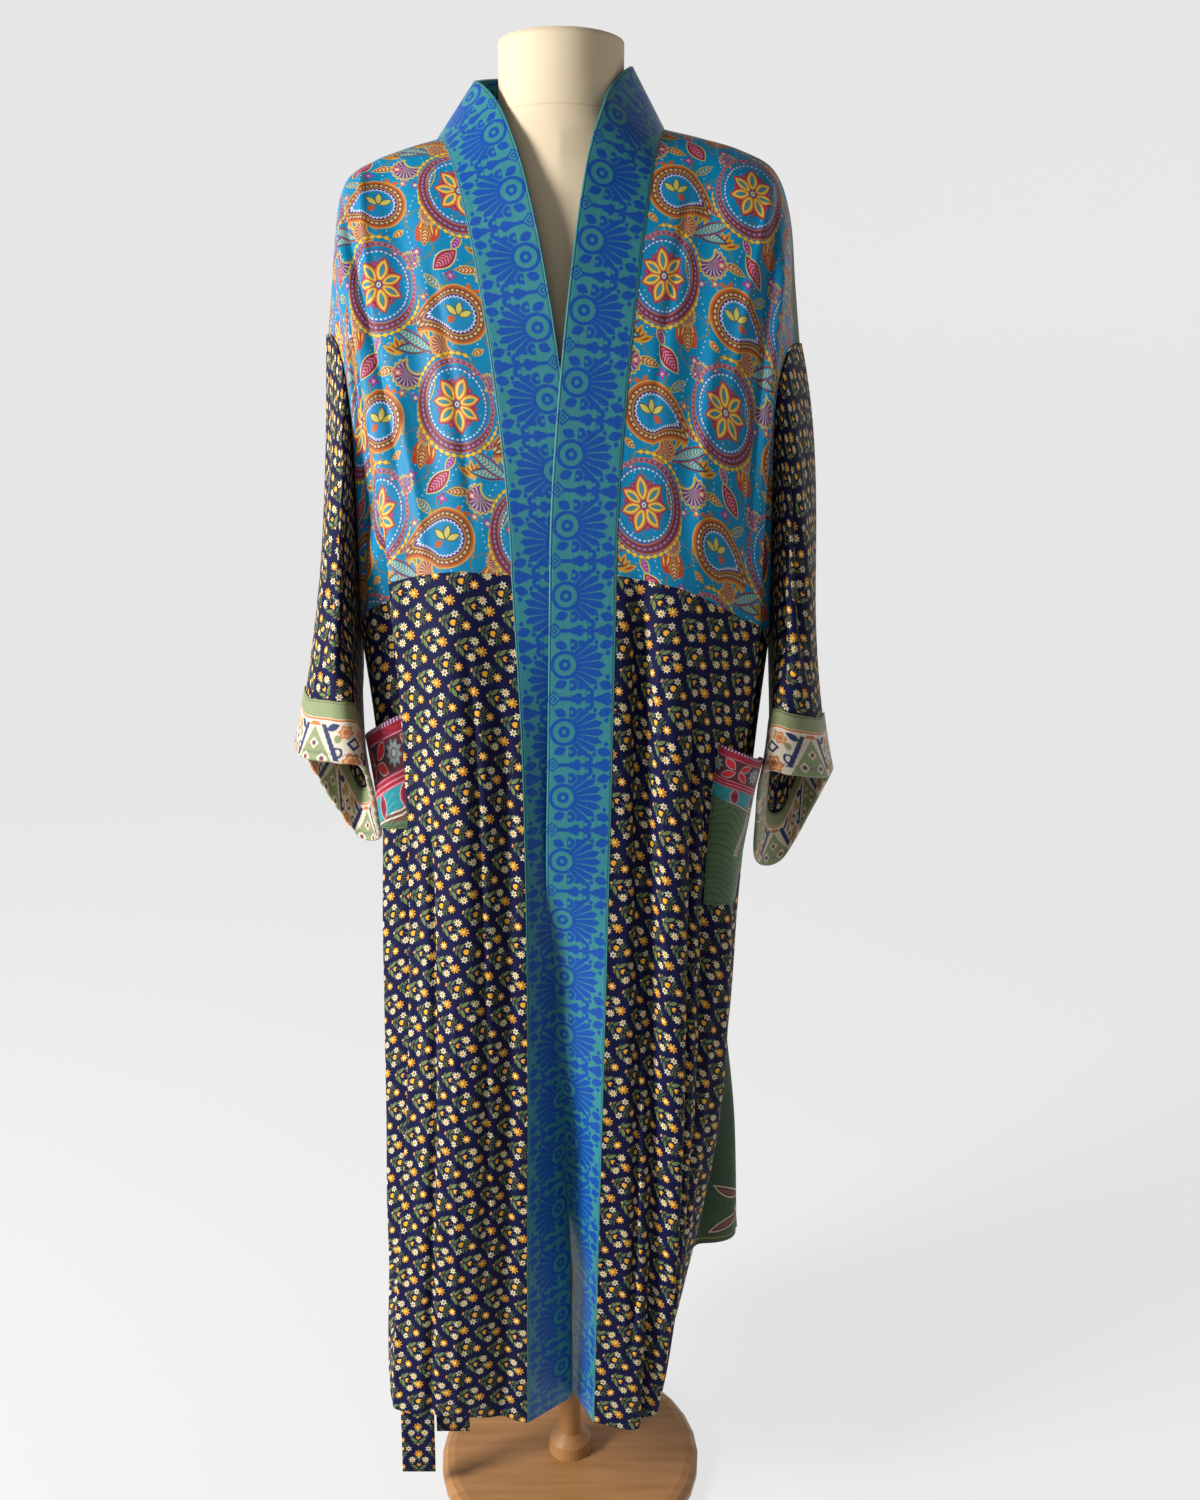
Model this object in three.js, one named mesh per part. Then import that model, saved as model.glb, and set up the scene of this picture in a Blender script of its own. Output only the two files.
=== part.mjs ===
// A patchwork kimono robe worn open on a limbless dress form with a pole and a round base.
// Millimetres, +Z up, the front of the robe faces -Y, and the origin is the centre of the base's underside.
// The robe is a set of cloth walls. Each wall is a grid of points on the robe's surface, given a thickness.
// "right" and "left" are the sides at +X and -X.
import * as THREE from "three";

// ---------- driving sizes ----------
const CLOTH = 1.5; // thickness of a cloth wall
const BAND_CLOTH = 2.0; // the front band is folded double
const BAND_WIDTH = 60;
const SEAM_GAP = 0.34; // clear distance between two pieces at a seam
const BAND_TRIM = 0.5; // the band ends this far short of its seam line
const LAYER_GAP = 0.4; // clear distance between a piece and the panel that it lies on

const BASE_RADIUS = 150;
const BASE_THICKNESS = 20;
const POLE_RADIUS = 12.5;
// The foot of the pole and the edge of the base, in steps of height; inset is from the base's radius.
const POLE_FOOT = [
  { radius: 26, rise: SEAM_GAP },
  { radius: 24, rise: 14 },
  { radius: POLE_RADIUS, rise: 24 },
];
const BASE_EDGE = [
  { inset: 3, z: 0 },
  { inset: 0, z: 4 },
  { inset: 0, z: 12 },
  { inset: 6, z: 18 },
  { inset: 14, z: 20 },
];

// grid counts
const ACROSS_FRONT = 13; // columns of a front panel, from band seam to side
const ACROSS_NECK = 8; // columns of the back panel under the neckline
const DOWN_YOKE = 10; // rows from shoulder seam to yoke seam
const DOWN_SKIRT = 13; // rows from yoke seam to hem
const ACROSS_BAND = 3;
const DOWN_SLEEVE = 10; // rows from armhole to cuff rim, about 40 mm apart on the outer side
const CUFF_ROWS = 2; // rows that the turned back cuff covers
const CUFF_DEPTH = 58; // along the sleeve, all round
const AROUND_FORM = 32;

// ---------- tables ----------
// The shoulder line of each side, from the band seam out over the shoulder and down to the armhole's top.
const RIDGE = {
  right: [
    { x: 94, z: 1448 },
    { x: 130, z: 1440 },
    { x: 165, z: 1430 },
    { x: 195, z: 1413 },
    { x: 211, z: 1374 },
    { x: 218, z: 1314 },
    { x: 224, z: 1262 },
  ],
  left: [
    { x: 114, z: 1440 },
    { x: 143, z: 1432 },
    { x: 173, z: 1421 },
    { x: 197, z: 1405 },
    { x: 209, z: 1370 },
    { x: 216, z: 1316 },
    { x: 222, z: 1270 },
  ],
};
// Where the shoulder seam lies: less than 0 is in front of the shoulder line, a share of the front's height.
const SHOULDER_SEAM = { right: -0.06, left: 0.03 };
const SEAM_RUN = 0.3; // share across the shoulder at which the seam is fully there
// How a column leaves the shoulder line: forward and backward reach, and the turn towards the middle in front
// and behind, for shares s across the shoulder (0 neck, 1 armhole's top).
const LEAVE = {
  right: [
    { s: 0, front: 270, back: 240, turn: 38, turnBack: -45 },
    { s: 0.55, front: 260, back: 300, turn: 20, turnBack: 0 },
    { s: 1, front: 430, back: 330, turn: 150, turnBack: 75 },
  ],
  left: [
    { s: 0, front: 270, back: 240, turn: 88, turnBack: -45 },
    { s: 0.55, front: 260, back: 300, turn: 20, turnBack: 0 },
    { s: 1, front: 430, back: 330, turn: 150, turnBack: 75 },
  ],
};
// The back neckline between the two neck points.
const NAPE = [
  { x: 84, y: 36, z: 1452 },
  { x: 50, y: 66, z: 1452 },
  { x: -6, y: 78, z: 1451 },
  { x: -62, y: 66, z: 1449 },
  { x: -98, y: 36, z: 1446 },
];
const COLUMN_FALL = 330; // how strongly a column falls straight down at the yoke seam
const NAPE_LEAVE = { back: 150, fall: 110 }; // how the back leaves the neckline at the nape
const NECK_LEAN = { x: 0.28, y: 0.2, z: 0.93, blend: 0.6 }; // how the band leans in round the neck

// Level sections of the robe under the yoke seam. Each side gives x (away from the middle), y and drop of
// five named columns. z is the height at the band seam, and drop is how much lower the column hangs there.
const SECTIONS = [
  {
    name: "yoke",
    z: 1058,
    right: {
      seam: [50, -133, 0], front: [113, -128, 15], corner: [176, -90, 50],
      side: [200, -12, 68], back: [154, 84, 66],
    },
    left: {
      seam: [44, -132, 0], front: [104, -132, -2], corner: [158, -104, 14],
      side: [200, -12, 68], back: [154, 84, 66],
    },
    centre: [104, 60],
  },
  {
    name: "waist",
    z: 905,
    right: {
      seam: [47, -138, 0], front: [110, -131, 8], corner: [166, -94, 26],
      side: [189, -6, 34], back: [142, 90, 32],
    },
    left: {
      seam: [37, -138, 0], front: [96, -137, 0], corner: [150, -105, 10],
      side: [189, -6, 34], back: [142, 90, 32],
    },
    centre: [111, 28],
  },
  {
    name: "hip",
    z: 735,
    right: {
      seam: [43, -141, 0], front: [106, -134, 4], corner: [157, -96, 12],
      side: [178, -4, 16], back: [138, 97, 14],
    },
    left: {
      seam: [35, -141, 0], front: [95, -139, 0], corner: [149, -107, 6],
      side: [189, -4, 16], back: [144, 96, 14],
    },
    centre: [119, 12],
  },
  {
    name: "thigh",
    z: 535,
    right: {
      seam: [38, -142, 0], front: [100, -137, 2], corner: [148, -96, 4],
      side: [169, 4, 2], back: [148, 102, -6],
    },
    left: {
      seam: [36, -142, 0], front: [98, -141, 0], corner: [157, -111, 0],
      side: [190, -6, 2], back: [150, 102, -6],
    },
    centre: [128, -6],
  },
  {
    name: "shin",
    z: 350,
    right: {
      seam: [33, -142, 0], front: [93, -139, 0], corner: [128, -94, -4],
      side: [137, 34, -20], back: [182, 108, -32],
    },
    left: {
      seam: [39, -142, 0], front: [106, -143, 0], corner: [170, -122, 0],
      side: [190, -14, -8], back: [158, 108, -24],
    },
    centre: [138, -24],
  },
  {
    name: "hem",
    z: 176,
    right: {
      seam: [29, -142, 0], front: [82, -140, 6], corner: [102, -88, -24],
      side: [122, 46, -44], back: [198, 114, -68],
    },
    left: {
      seam: [41, -142, 0], front: [112, -144, -16], corner: [180, -132, -14],
      side: [191, -22, -24], back: [164, 114, -44],
    },
    centre: [148, -48],
  },
];

// The band's lean from its seam to its free edge, at heights v (0 shoulder seam, 1 yoke seam, 2 hem).
const BAND_LEAN = {
  right: [
    { v: 0.0, x: -0.5, y: -0.14, z: 0.85 },
    { v: 0.15, x: -0.8, y: -0.24, z: 0.54 },
    { v: 0.3, x: -0.95, y: -0.15, z: 0.27 },
    { v: 0.45, x: -0.98, y: -0.11, z: 0.15 },
    { v: 0.62, x: -0.99, y: -0.08, z: 0.1 },
    { v: 1.0, x: -0.98, y: -0.05, z: 0.0 },
    { v: 1.3, x: -0.97, y: 0.05, z: 0.0 },
    { v: 1.5, x: -0.8, y: 0.42, z: 0.0 },
    { v: 1.7, x: -0.6, y: 0.76, z: 0.0 },
    { v: 1.85, x: -0.4, y: 0.88, z: 0.0 },
    { v: 2.0, x: -0.42, y: 0.86, z: 0.0 },
  ],
  left: [
    { v: 0.0, x: -0.6, y: -0.12, z: 0.79 },
    { v: 0.15, x: -0.84, y: -0.16, z: 0.52 },
    { v: 0.3, x: -0.95, y: -0.15, z: 0.27 },
    { v: 0.45, x: -0.98, y: -0.08, z: 0.15 },
    { v: 0.62, x: -0.99, y: 0.0, z: 0.08 },
    { v: 1.0, x: -0.98, y: 0.07, z: 0.0 },
    { v: 1.3, x: -0.86, y: 0.4, z: 0.0 },
    { v: 1.5, x: -0.7, y: 0.68, z: 0.0 },
    { v: 1.7, x: -0.62, y: 0.74, z: 0.0 },
    { v: 1.85, x: -0.72, y: 0.64, z: 0.0 },
    { v: 2.0, x: -0.74, y: 0.62, z: 0.0 },
  ],
};

// Folds: s0 to s1 is where the fold runs across its panel from height v0 to v1, in the panel's own
// shares (front: 0 band seam, 1 side; back: 0 right side, 1 left side). Depth is outward in mm.
const FOLDS = {
  right: [
    { s0: 0.74, s1: 0.8, v0: 0.2, v1: 1.1, width: 0.05, depth: -11 },
    { s0: 0.64, s1: 0.68, v0: 0.15, v1: 1.25, width: 0.06, depth: 6 },
    { s0: 0.24, s1: 0.3, v0: 0.1, v1: 0.95, width: 0.09, depth: -5 },
    { s0: 0.12, s1: 0.36, v0: 0.95, v1: 2.1, width: 0.055, depth: -15 },
    { s0: 0.28, s1: 0.5, v0: 1.05, v1: 2.1, width: 0.07, depth: 8 },
    { s0: 0.5, s1: 0.66, v0: 1.1, v1: 2.1, width: 0.055, depth: -11 },
    { s0: 0.66, s1: 0.8, v0: 1.3, v1: 2.1, width: 0.06, depth: 8 },
    { s0: 0.84, s1: 0.9, v0: 1.0, v1: 2.1, width: 0.05, depth: -9 },
  ],
  left: [
    { s0: 0.74, s1: 0.8, v0: 0.2, v1: 0.9, width: 0.05, depth: -11 },
    { s0: 0.64, s1: 0.6, v0: 0.15, v1: 1.2, width: 0.06, depth: 6 },
    { s0: 0.3, s1: 0.34, v0: 0.08, v1: 0.9, width: 0.08, depth: -6 },
    { s0: 0.32, s1: 0.36, v0: 0.95, v1: 2.1, width: 0.17, depth: 11 },
    { s0: 0.73, s1: 0.76, v0: 0.8, v1: 1.95, width: 0.055, depth: -24 },
    { s0: 0.85, s1: 0.87, v0: 1.0, v1: 1.9, width: 0.04, depth: 3 },
    { s0: 0.93, s1: 0.93, v0: 1.15, v1: 2.1, width: 0.03, depth: -8 },
    { s0: 0.1, s1: 0.12, v0: 1.1, v1: 2.1, width: 0.05, depth: -7 },
  ],
  back: [
    { s0: 0.2, s1: 0.1, v0: 0.35, v1: 2.1, width: 0.028, depth: -14 },
    { s0: 0.27, s1: 0.18, v0: 0.6, v1: 2.1, width: 0.04, depth: 12 },
    { s0: 0.34, s1: 0.3, v0: 0.9, v1: 2.1, width: 0.035, depth: -16 },
    { s0: 0.42, s1: 0.4, v0: 1.0, v1: 2.1, width: 0.04, depth: 12 },
    { s0: 0.5, s1: 0.5, v0: 0.8, v1: 2.1, width: 0.035, depth: -15 },
    { s0: 0.57, s1: 0.6, v0: 1.05, v1: 2.1, width: 0.04, depth: 12 },
    { s0: 0.66, s1: 0.7, v0: 0.85, v1: 2.1, width: 0.035, depth: -16 },
    { s0: 0.74, s1: 0.8, v0: 0.6, v1: 2.1, width: 0.04, depth: 11 },
    { s0: 0.8, s1: 0.9, v0: 0.35, v1: 2.1, width: 0.028, depth: -14 },
  ],
};

// The rim of each cuff, on which it is turned back: x away from the middle, y and z at every 45 degrees, from
// the outer side (0) over the front (90) and the side under the arm (180) to the back (270).
const CUFF_RIM = {
  right: [
    { at: 0, x: 270, y: -8, z: 846 },
    { at: 45, x: 252, y: -68, z: 856 },
    { at: 90, x: 217, y: -95, z: 866 },
    { at: 135, x: 193, y: -84, z: 864 },
    { at: 180, x: 196, y: -16, z: 796 },
    { at: 225, x: 205, y: 42, z: 732 },
    { at: 270, x: 236, y: 68, z: 728 },
    { at: 315, x: 262, y: 46, z: 792 },
  ],
  left: [
    { at: 0, x: 270, y: -8, z: 872 },
    { at: 45, x: 252, y: -68, z: 876 },
    { at: 90, x: 214, y: -96, z: 878 },
    { at: 135, x: 191, y: -86, z: 868 },
    { at: 180, x: 193, y: -16, z: 798 },
    { at: 225, x: 203, y: 42, z: 758 },
    { at: 270, x: 230, y: 68, z: 754 },
    { at: 315, x: 252, y: 42, z: 804 },
  ],
};
// How far outwards each sleeve leaves the shoulder, as a share of its length.
const SLEEVE_LEAVE = { right: 0.26, left: 0.04 };
const UNDERARM_LEAVE = 0.02;
const SLEEVE_PUFF = 0.3; // how far the sleeve swells in front and behind
const CUFF_FLARE = 0.25; // how far it spreads sideways at the cuff's rim
const SLEEVE_FADE = 0.25; // share of the sleeve over which its folds begin and end
// Folds along each sleeve: angle in degrees (0 outer, 90 front, 180 under the arm, 270 back).
const SLEEVE_FOLDS = [
  { at: 58, width: 13, depth: -14, from: 0.12, to: 0.72 },
  { at: 84, width: 12, depth: 6, from: 0.3, to: 0.8 },
  { at: 108, width: 12, depth: -7, from: 0.25, to: 0.75 },
  { at: 245, width: 14, depth: -14, from: 0.15, to: 0.76 },
  { at: 300, width: 14, depth: -12, from: 0.12, to: 0.72 },
  { at: 272, width: 12, depth: 6, from: 0.3, to: 0.8 },
];

// Pockets: the grid cells of the front panel that each covers, and how far its mouth stands off.
// The mouth's two ends hang lower than row0 by a number of rows.
const POCKETS = {
  right: { column0: 7, column1: 11, row0: 2, row1: 5, gape: 17, innerDrop: 0.35, outerDrop: 0.7 },
  left: { column0: 9, column1: 12, row0: 1, row1: 4, gape: 13, innerDrop: 0.7, outerDrop: 1.6 },
};

// Dress form: half width, front and back depth at each height, and the corner power of the section.
const FORM = [
  { z: 1520, half: 57, front: 57, back: 57, power: 2 },
  { z: 1488, half: 57, front: 57, back: 57, power: 2 },
  { z: 1464, half: 59, front: 57, back: 58, power: 2 },
  { z: 1448, half: 70, front: 57, back: 59, power: 1.9 },
  { z: 1436, half: 104, front: 58, back: 60, power: 1.5 },
  { z: 1422, half: 158, front: 60, back: 60, power: 1.3 },
  { z: 1405, half: 184, front: 63, back: 61, power: 1.4 },
  { z: 1380, half: 195, front: 68, back: 63, power: 1.6 },
  { z: 1345, half: 196, front: 75, back: 66, power: 1.8 },
  { z: 1305, half: 188, front: 84, back: 70, power: 1.9 },
  { z: 1260, half: 172, front: 94, back: 74, power: 2.1 },
  { z: 1200, half: 152, front: 98, back: 75, power: 2.2 },
  { z: 1140, half: 136, front: 90, back: 72, power: 2.2 },
  { z: 1070, half: 122, front: 84, back: 66, power: 2.2 },
  { z: 1000, half: 128, front: 90, back: 70, power: 2.2 },
  { z: 910, half: 146, front: 98, back: 76, power: 2.2 },
  { z: 830, half: 150, front: 98, back: 78, power: 2.2 },
  { z: 770, half: 146, front: 94, back: 74, power: 2.2 },
  { z: 746, half: 132, front: 84, back: 66, power: 2.2 },
];

// The belt's two ends hang inside the robe from a thread loop on the left side seam. A row for each height,
// from the end of the longer strand up over the loop and down to the other end; width is across x.
const BELT = [
  { x: -169, y: -62, z: 41, width: 37 },
  { x: -167, y: -62, z: 165, width: 37 },
  { x: -158, y: -58, z: 260, width: 37 },
  { x: -153, y: -50, z: 420, width: 36 },
  { x: -156, y: -38, z: 600, width: 30 },
  { x: -170, y: -22, z: 740, width: 16 },
  { x: -179, y: -11, z: 806, width: 10 },
  { x: -180.6, y: -7, z: 834, width: 9 },
  { x: -180.6, y: -4.6, z: 842.2, width: 9 },
  { x: -180.6, y: 0, z: 844.2, width: 9 },
  { x: -180.6, y: 4.6, z: 842.2, width: 9 },
  { x: -180.6, y: 7, z: 834, width: 9 },
  { x: -179, y: 10, z: 806, width: 10 },
  { x: -171, y: 6, z: 740, width: 16 },
  { x: -155, y: -20, z: 600, width: 30 },
  { x: -140, y: -38, z: 420, width: 36 },
  { x: -132, y: -50, z: 260, width: 37 },
  { x: -130, y: -54, z: 88, width: 37 },
];
const BELT_LOOP = { row: 3, depth: 14, height: 22, bar: 2.4, width: 5 };

// ---------- small maths ----------
const vec = (x, y, z) => new THREE.Vector3(x, y, z);
const lerp = THREE.MathUtils.lerp;
const smooth = (t) => THREE.MathUtils.smoothstep(t, 0, 1);
const signOf = { right: 1, left: -1 };

// A smooth curve through evenly spaced values; t runs from 0 to values.length - 1.
function spline(values, t) {
  const last = values.length - 1;
  const i = Math.min(Math.max(Math.floor(t), 0), last - 1);
  const u = t - i;
  const at = (k) => {
    if (k < 0) return 2 * values[0] - values[1];
    if (k > last) return 2 * values[last] - values[last - 1];
    return values[k];
  };
  const [a, b, c, d] = [at(i - 1), at(i), at(i + 1), at(i + 2)];
  return (
    b +
    0.5 * u * (c - a + u * (2 * a - 5 * b + 4 * c - d + u * (3 * (b - c) + d - a)))
  );
}

const splineVec = (points, t) =>
  vec(
    spline(points.map((p) => p.x), t),
    spline(points.map((p) => p.y), t),
    spline(points.map((p) => p.z), t),
  );

// A cubic from a to b with end tangents ta and tb.
function hermite(a, ta, b, tb, t) {
  const t2 = t * t;
  const t3 = t2 * t;
  return vec(0, 0, 0)
    .addScaledVector(a, 2 * t3 - 3 * t2 + 1)
    .addScaledVector(ta, t3 - 2 * t2 + t)
    .addScaledVector(b, 3 * t2 - 2 * t3)
    .addScaledVector(tb, t3 - t2);
}

// Linear look-up in a table whose rows rise in the column "key".
function lookUp(table, key, value, column) {
  let i = 0;
  while (i < table.length - 2 && table[i + 1][key] < value) i += 1;
  const share = (value - table[i][key]) / (table[i + 1][key] - table[i][key]);
  return lerp(table[i][column], table[i + 1][column], smooth(THREE.MathUtils.clamp(share, 0, 1)));
}

// ---------- the robe's surface ----------
// The loop round the robe: right seam 0, front 1, corner 2, side 3, back 4, centre back 5,
// left back 6, side 7, corner 8, front 9, seam 10.
const COLUMNS = ["seam", "front", "corner", "side", "back"];
const LOOP = [
  ...COLUMNS.map((name) => ["right", name]),
  ["right", "centre"],
  ...COLUMNS.map((name) => ["left", name]).reverse(),
];
const RIGHT_SIDE = 3;
const LEFT_SIDE = 7;
const LOOP_END = 10;
const NECK_AT = 1.33; // loop distance from a side to the neck point on the back panel

function sectionPoint(section, [side, name]) {
  if (name === "centre") return vec(0, section.centre[0], section.z - section.centre[1]);
  const [x, y, drop] = section[side][name];
  return vec(signOf[side] * x, y, section.z - drop);
}

// A point of the skirt: c round the loop, w from 0 at the yoke seam to 1 at the hem.
function skirtPoint(c, w) {
  const rows = SECTIONS.map((section) => splineVec(LOOP.map((column) => sectionPoint(section, column)), c));
  return splineVec(rows, w * (SECTIONS.length - 1));
}

function ridgePoint(side, s) {
  const rows = RIDGE[side].map((p) => vec(signOf[side] * p.x, 0, p.z));
  return splineVec(rows, s * (rows.length - 1));
}

const loopOfFront = (side, s) => (side === "right" ? RIGHT_SIDE * s : LOOP_END - RIGHT_SIDE * s);
const loopOfBack = (side, s) =>
  side === "right" ? RIGHT_SIDE + NECK_AT * (1 - s) : LEFT_SIDE - NECK_AT * (1 - s);

// A column over the shoulder at share s. tau runs from -1 (front, yoke seam) over the shoulder
// line at 0 to 1 (back, at the same level).
function overShoulder(side, s, tau) {
  const top = ridgePoint(side, s);
  const leave = (column) => lookUp(LEAVE[side], "s", s, column);
  const inward = -signOf[side] * leave(tau < 0 ? "turn" : "turnBack");
  const fall = vec(0, 0, -COLUMN_FALL);
  if (tau < 0) {
    const bottom = skirtPoint(loopOfFront(side, s), 0);
    return hermite(top, vec(inward, -leave("front"), 0), bottom, fall, -tau);
  }
  const bottom = skirtPoint(loopOfBack(side, s), 0);
  return hermite(top, vec(inward, leave("back"), 0), bottom, fall, tau);
}

// The shoulder seam starts on the shoulder line at the neck and leaves it further out.
const seamShare = (side, s) => SHOULDER_SEAM[side] * smooth(s / SEAM_RUN);

// The back neckline between the two neck points, n from 0 (right) to 1 (left).
function necklinePoint(n) {
  const right = overShoulder("right", 0, 0);
  const left = overShoulder("left", 0, 0);
  const nape = NAPE.map((p) => vec(p.x, p.y, p.z));
  return splineVec([right, ...nape, left], n * (nape.length + 1));
}

function underNeck(n, tau) {
  const top = necklinePoint(n);
  const bottom = skirtPoint(lerp(RIGHT_SIDE + NECK_AT, LEFT_SIDE - NECK_AT, n), 0);
  const middle = Math.sin(Math.PI * n);
  const leave = vec(0, lerp(LEAVE.right[0].back, NAPE_LEAVE.back, middle), -NAPE_LEAVE.fall * middle);
  return hermite(top, leave, bottom, vec(0, 0, -COLUMN_FALL), tau);
}

// ---------- folds ----------
const bell = (x) => Math.exp(-x * x);
const FADE = 0.16; // height over which a fold begins and ends
const EDGE_FADE = 0.07; // share of a panel over which its folds die out towards its edges

// The outward push of the folds at share s and height v (0 shoulder line, 1 yoke level, 2 hem).
function foldDepth(folds, s, v) {
  const edge = smooth(s / EDGE_FADE) * smooth((1 - s) / EDGE_FADE);
  return folds.reduce((sum, fold) => {
    const along = (v - fold.v0) / (fold.v1 - fold.v0);
    const where = lerp(fold.s0, fold.s1, smooth(THREE.MathUtils.clamp(along, 0, 1)));
    const inRange = smooth((v - fold.v0) / FADE) * smooth((fold.v1 - v) / FADE);
    return sum + fold.depth * bell((s - where) / fold.width) * inRange * edge;
  }, 0);
}

// ---------- grids ----------
// A grid is rows of points. Normals come from the neighbours; seams share them later.
const grid = (rows, columns, at) =>
  Array.from({ length: rows + 1 }, (_, i) =>
    Array.from({ length: columns + 1 }, (__, j) => at(i, j, j / columns)),
  );

function normalsOf(points, closed = false) {
  const rows = points.length;
  const columns = points[0].length;
  return points.map((row, i) =>
    row.map((_, j) => {
      const up = points[Math.max(i - 1, 0)][j];
      const down = points[Math.min(i + 1, rows - 1)][j];
      const before = closed ? (j - 1 + columns) % columns : Math.max(j - 1, 0);
      const after = closed ? (j + 1) % columns : Math.min(j + 1, columns - 1);
      const across = points[i][after].clone().sub(points[i][before]);
      return across.cross(down.clone().sub(up)).normalize();
    }),
  );
}

// Points of a grid moved along its normals; distance is a number or a function of the grid place.
const movedOut = (points, normals, distance) =>
  points.map((row, i) =>
    row.map((p, j) => {
      const far = typeof distance === "function" ? distance(i, j) : distance;
      return p.clone().addScaledVector(normals[i][j], far);
    }),
  );

// The front panel of a side from shoulder seam (row 0) to hem, and the back panel.
const UPPER = DOWN_YOKE;
const TOTAL = DOWN_YOKE + DOWN_SKIRT;

function frontGrid(side) {
  return grid(TOTAL, ACROSS_FRONT, (i, _, s) =>
    i <= UPPER
      ? overShoulder(side, s, lerp(seamShare(side, s), -1, i / UPPER))
      : skirtPoint(loopOfFront(side, s), (i - UPPER) / DOWN_SKIRT),
  );
}

function backGrid() {
  const columns = 2 * ACROSS_FRONT + ACROSS_NECK;
  return grid(TOTAL, columns, (i, j) => {
    const inNeck = (j - ACROSS_FRONT) / ACROSS_NECK;
    const side = inNeck < 0.5 ? "right" : "left";
    const s = side === "right" ? 1 - j / ACROSS_FRONT : (j - ACROSS_FRONT - ACROSS_NECK) / ACROSS_FRONT;
    const overNeck = inNeck > 0 && inNeck < 1;
    if (i <= UPPER)
      return overNeck
        ? underNeck(inNeck, i / UPPER)
        : overShoulder(side, s, lerp(seamShare(side, s), 1, i / UPPER));
    const c = overNeck ? lerp(RIGHT_SIDE + NECK_AT, LEFT_SIDE - NECK_AT, inNeck) : loopOfBack(side, s);
    return skirtPoint(c, (i - UPPER) / DOWN_SKIRT);
  });
}

const heightOf = (i) => (i <= UPPER ? i / UPPER : 1 + (i - UPPER) / DOWN_SKIRT);

function folded(points, folds, flip) {
  const normals = normalsOf(points);
  const columns = points[0].length - 1;
  return movedOut(points, normals, (i, j) => flip * foldDepth(folds, j / columns, heightOf(i)));
}

const front = {
  right: folded(frontGrid("right"), FOLDS.right, -1),
  left: folded(frontGrid("left"), FOLDS.left, 1),
};
const back = folded(backGrid(), FOLDS.back, -1);

// The band: along both fronts and the back neckline, from the right hem round to the left hem.
function leanOf(side, v) {
  const part = (column) => lookUp(BAND_LEAN[side], "v", v, column);
  return vec(signOf[side] * part("x"), part("y"), part("z")).normalize();
}

function bandGrid() {
  const frontRows = front.right.length;
  const stations = [];
  for (let i = frontRows - 1; i >= 0; i -= 1)
    stations.push({ seam: front.right[i][0], lean: leanOf("right", heightOf(i)) });
  for (let k = 1; k < ACROSS_NECK; k += 1) {
    const n = k / ACROSS_NECK;
    const seam = back[0][ACROSS_FRONT + k];
    const side = leanOf(n < 0.5 ? "right" : "left", 0);
    const inwards = seam.clone().divideScalar(-BAND_WIDTH);
    const upright = vec(inwards.x * NECK_LEAN.x, inwards.y * NECK_LEAN.y, NECK_LEAN.z);
    const blend = Math.sin(Math.PI * n) ** NECK_LEAN.blend;
    stations.push({ seam, lean: side.lerp(upright, blend).normalize() });
  }
  for (let i = 0; i < frontRows; i += 1)
    stations.push({ seam: front.left[i][0], lean: leanOf("left", heightOf(i)) });
  return stations.map(({ seam, lean }) =>
    Array.from({ length: ACROSS_BAND + 1 }, (_, j) =>
      seam.clone().addScaledVector(lean, (BAND_WIDTH * j) / ACROSS_BAND),
    ),
  );
}

// ---------- walls ----------
// Grids that meet share their normals, so that their walls meet on one mitred line.
const sheets = [
  { points: front.right, flip: -1 },
  { points: front.left, flip: 1 },
  { points: back, flip: -1 },
  { points: bandGrid(), flip: -1 },
];

const KEY_STEP = 0.02; // points closer than this are the same point of a seam
const keyOf = (p) => [p.x, p.y, p.z].map((a) => Math.round(a / KEY_STEP)).join();

function shareNormals() {
  const shared = new Map();
  for (const sheet of sheets) {
    sheet.normals = normalsOf(sheet.points).map((row) =>
      row.map((n) => n.multiplyScalar(sheet.flip)),
    );
    sheet.points.forEach((row, i) =>
      row.forEach((p, j) => {
        const key = keyOf(p);
        const sum = shared.get(key) ?? vec(0, 0, 0);
        shared.set(key, sum.add(sheet.normals[i][j]));
      }),
    );
  }
  for (const sheet of sheets)
    sheet.normals = sheet.points.map((row) => row.map((p) => shared.get(keyOf(p)).clone().normalize()));
}
shareNormals();

const [frontRight, frontLeft, backSheet, bandSheet] = sheets;

// ---------- sleeves ----------
// The ring of a sleeve starts at the underarm, climbs the armhole's front edge to the shoulder
// line and goes down its back edge. It lies on the outer face of the panels.
function armholeRing(side) {
  const sheet = side === "right" ? frontRight : frontLeft;
  const lifted = movedOut(sheet.points, sheet.normals, CLOTH + LAYER_GAP);
  const frontEdge = lifted.slice(0, UPPER + 1).map((row) => row[ACROSS_FRONT]);
  const column = side === "right" ? 0 : back[0].length - 1;
  const liftedBack = movedOut(backSheet.points, backSheet.normals, CLOTH + LAYER_GAP);
  const backEdge = liftedBack.slice(1, UPPER).map((row) => row[column]);
  return [...frontEdge.reverse(), ...backEdge];
}

// A point of the cuff's rim; angle in radians.
function cuffEdgePoint(side, angle) {
  const rim = CUFF_RIM[side];
  const place = ((angle / (2 * Math.PI) + 1) % 1) * rim.length;
  const looped = [...rim.slice(-2), ...rim, ...rim.slice(0, 3)];
  const at = (column) => spline(looped.map((p) => p[column]), place + 2);
  return vec(signOf[side] * at("x"), at("y"), at("z"));
}

const ringAngle = (j, count) => Math.PI * (1 - (2 * j) / count); // 180 degrees at the underarm

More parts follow.
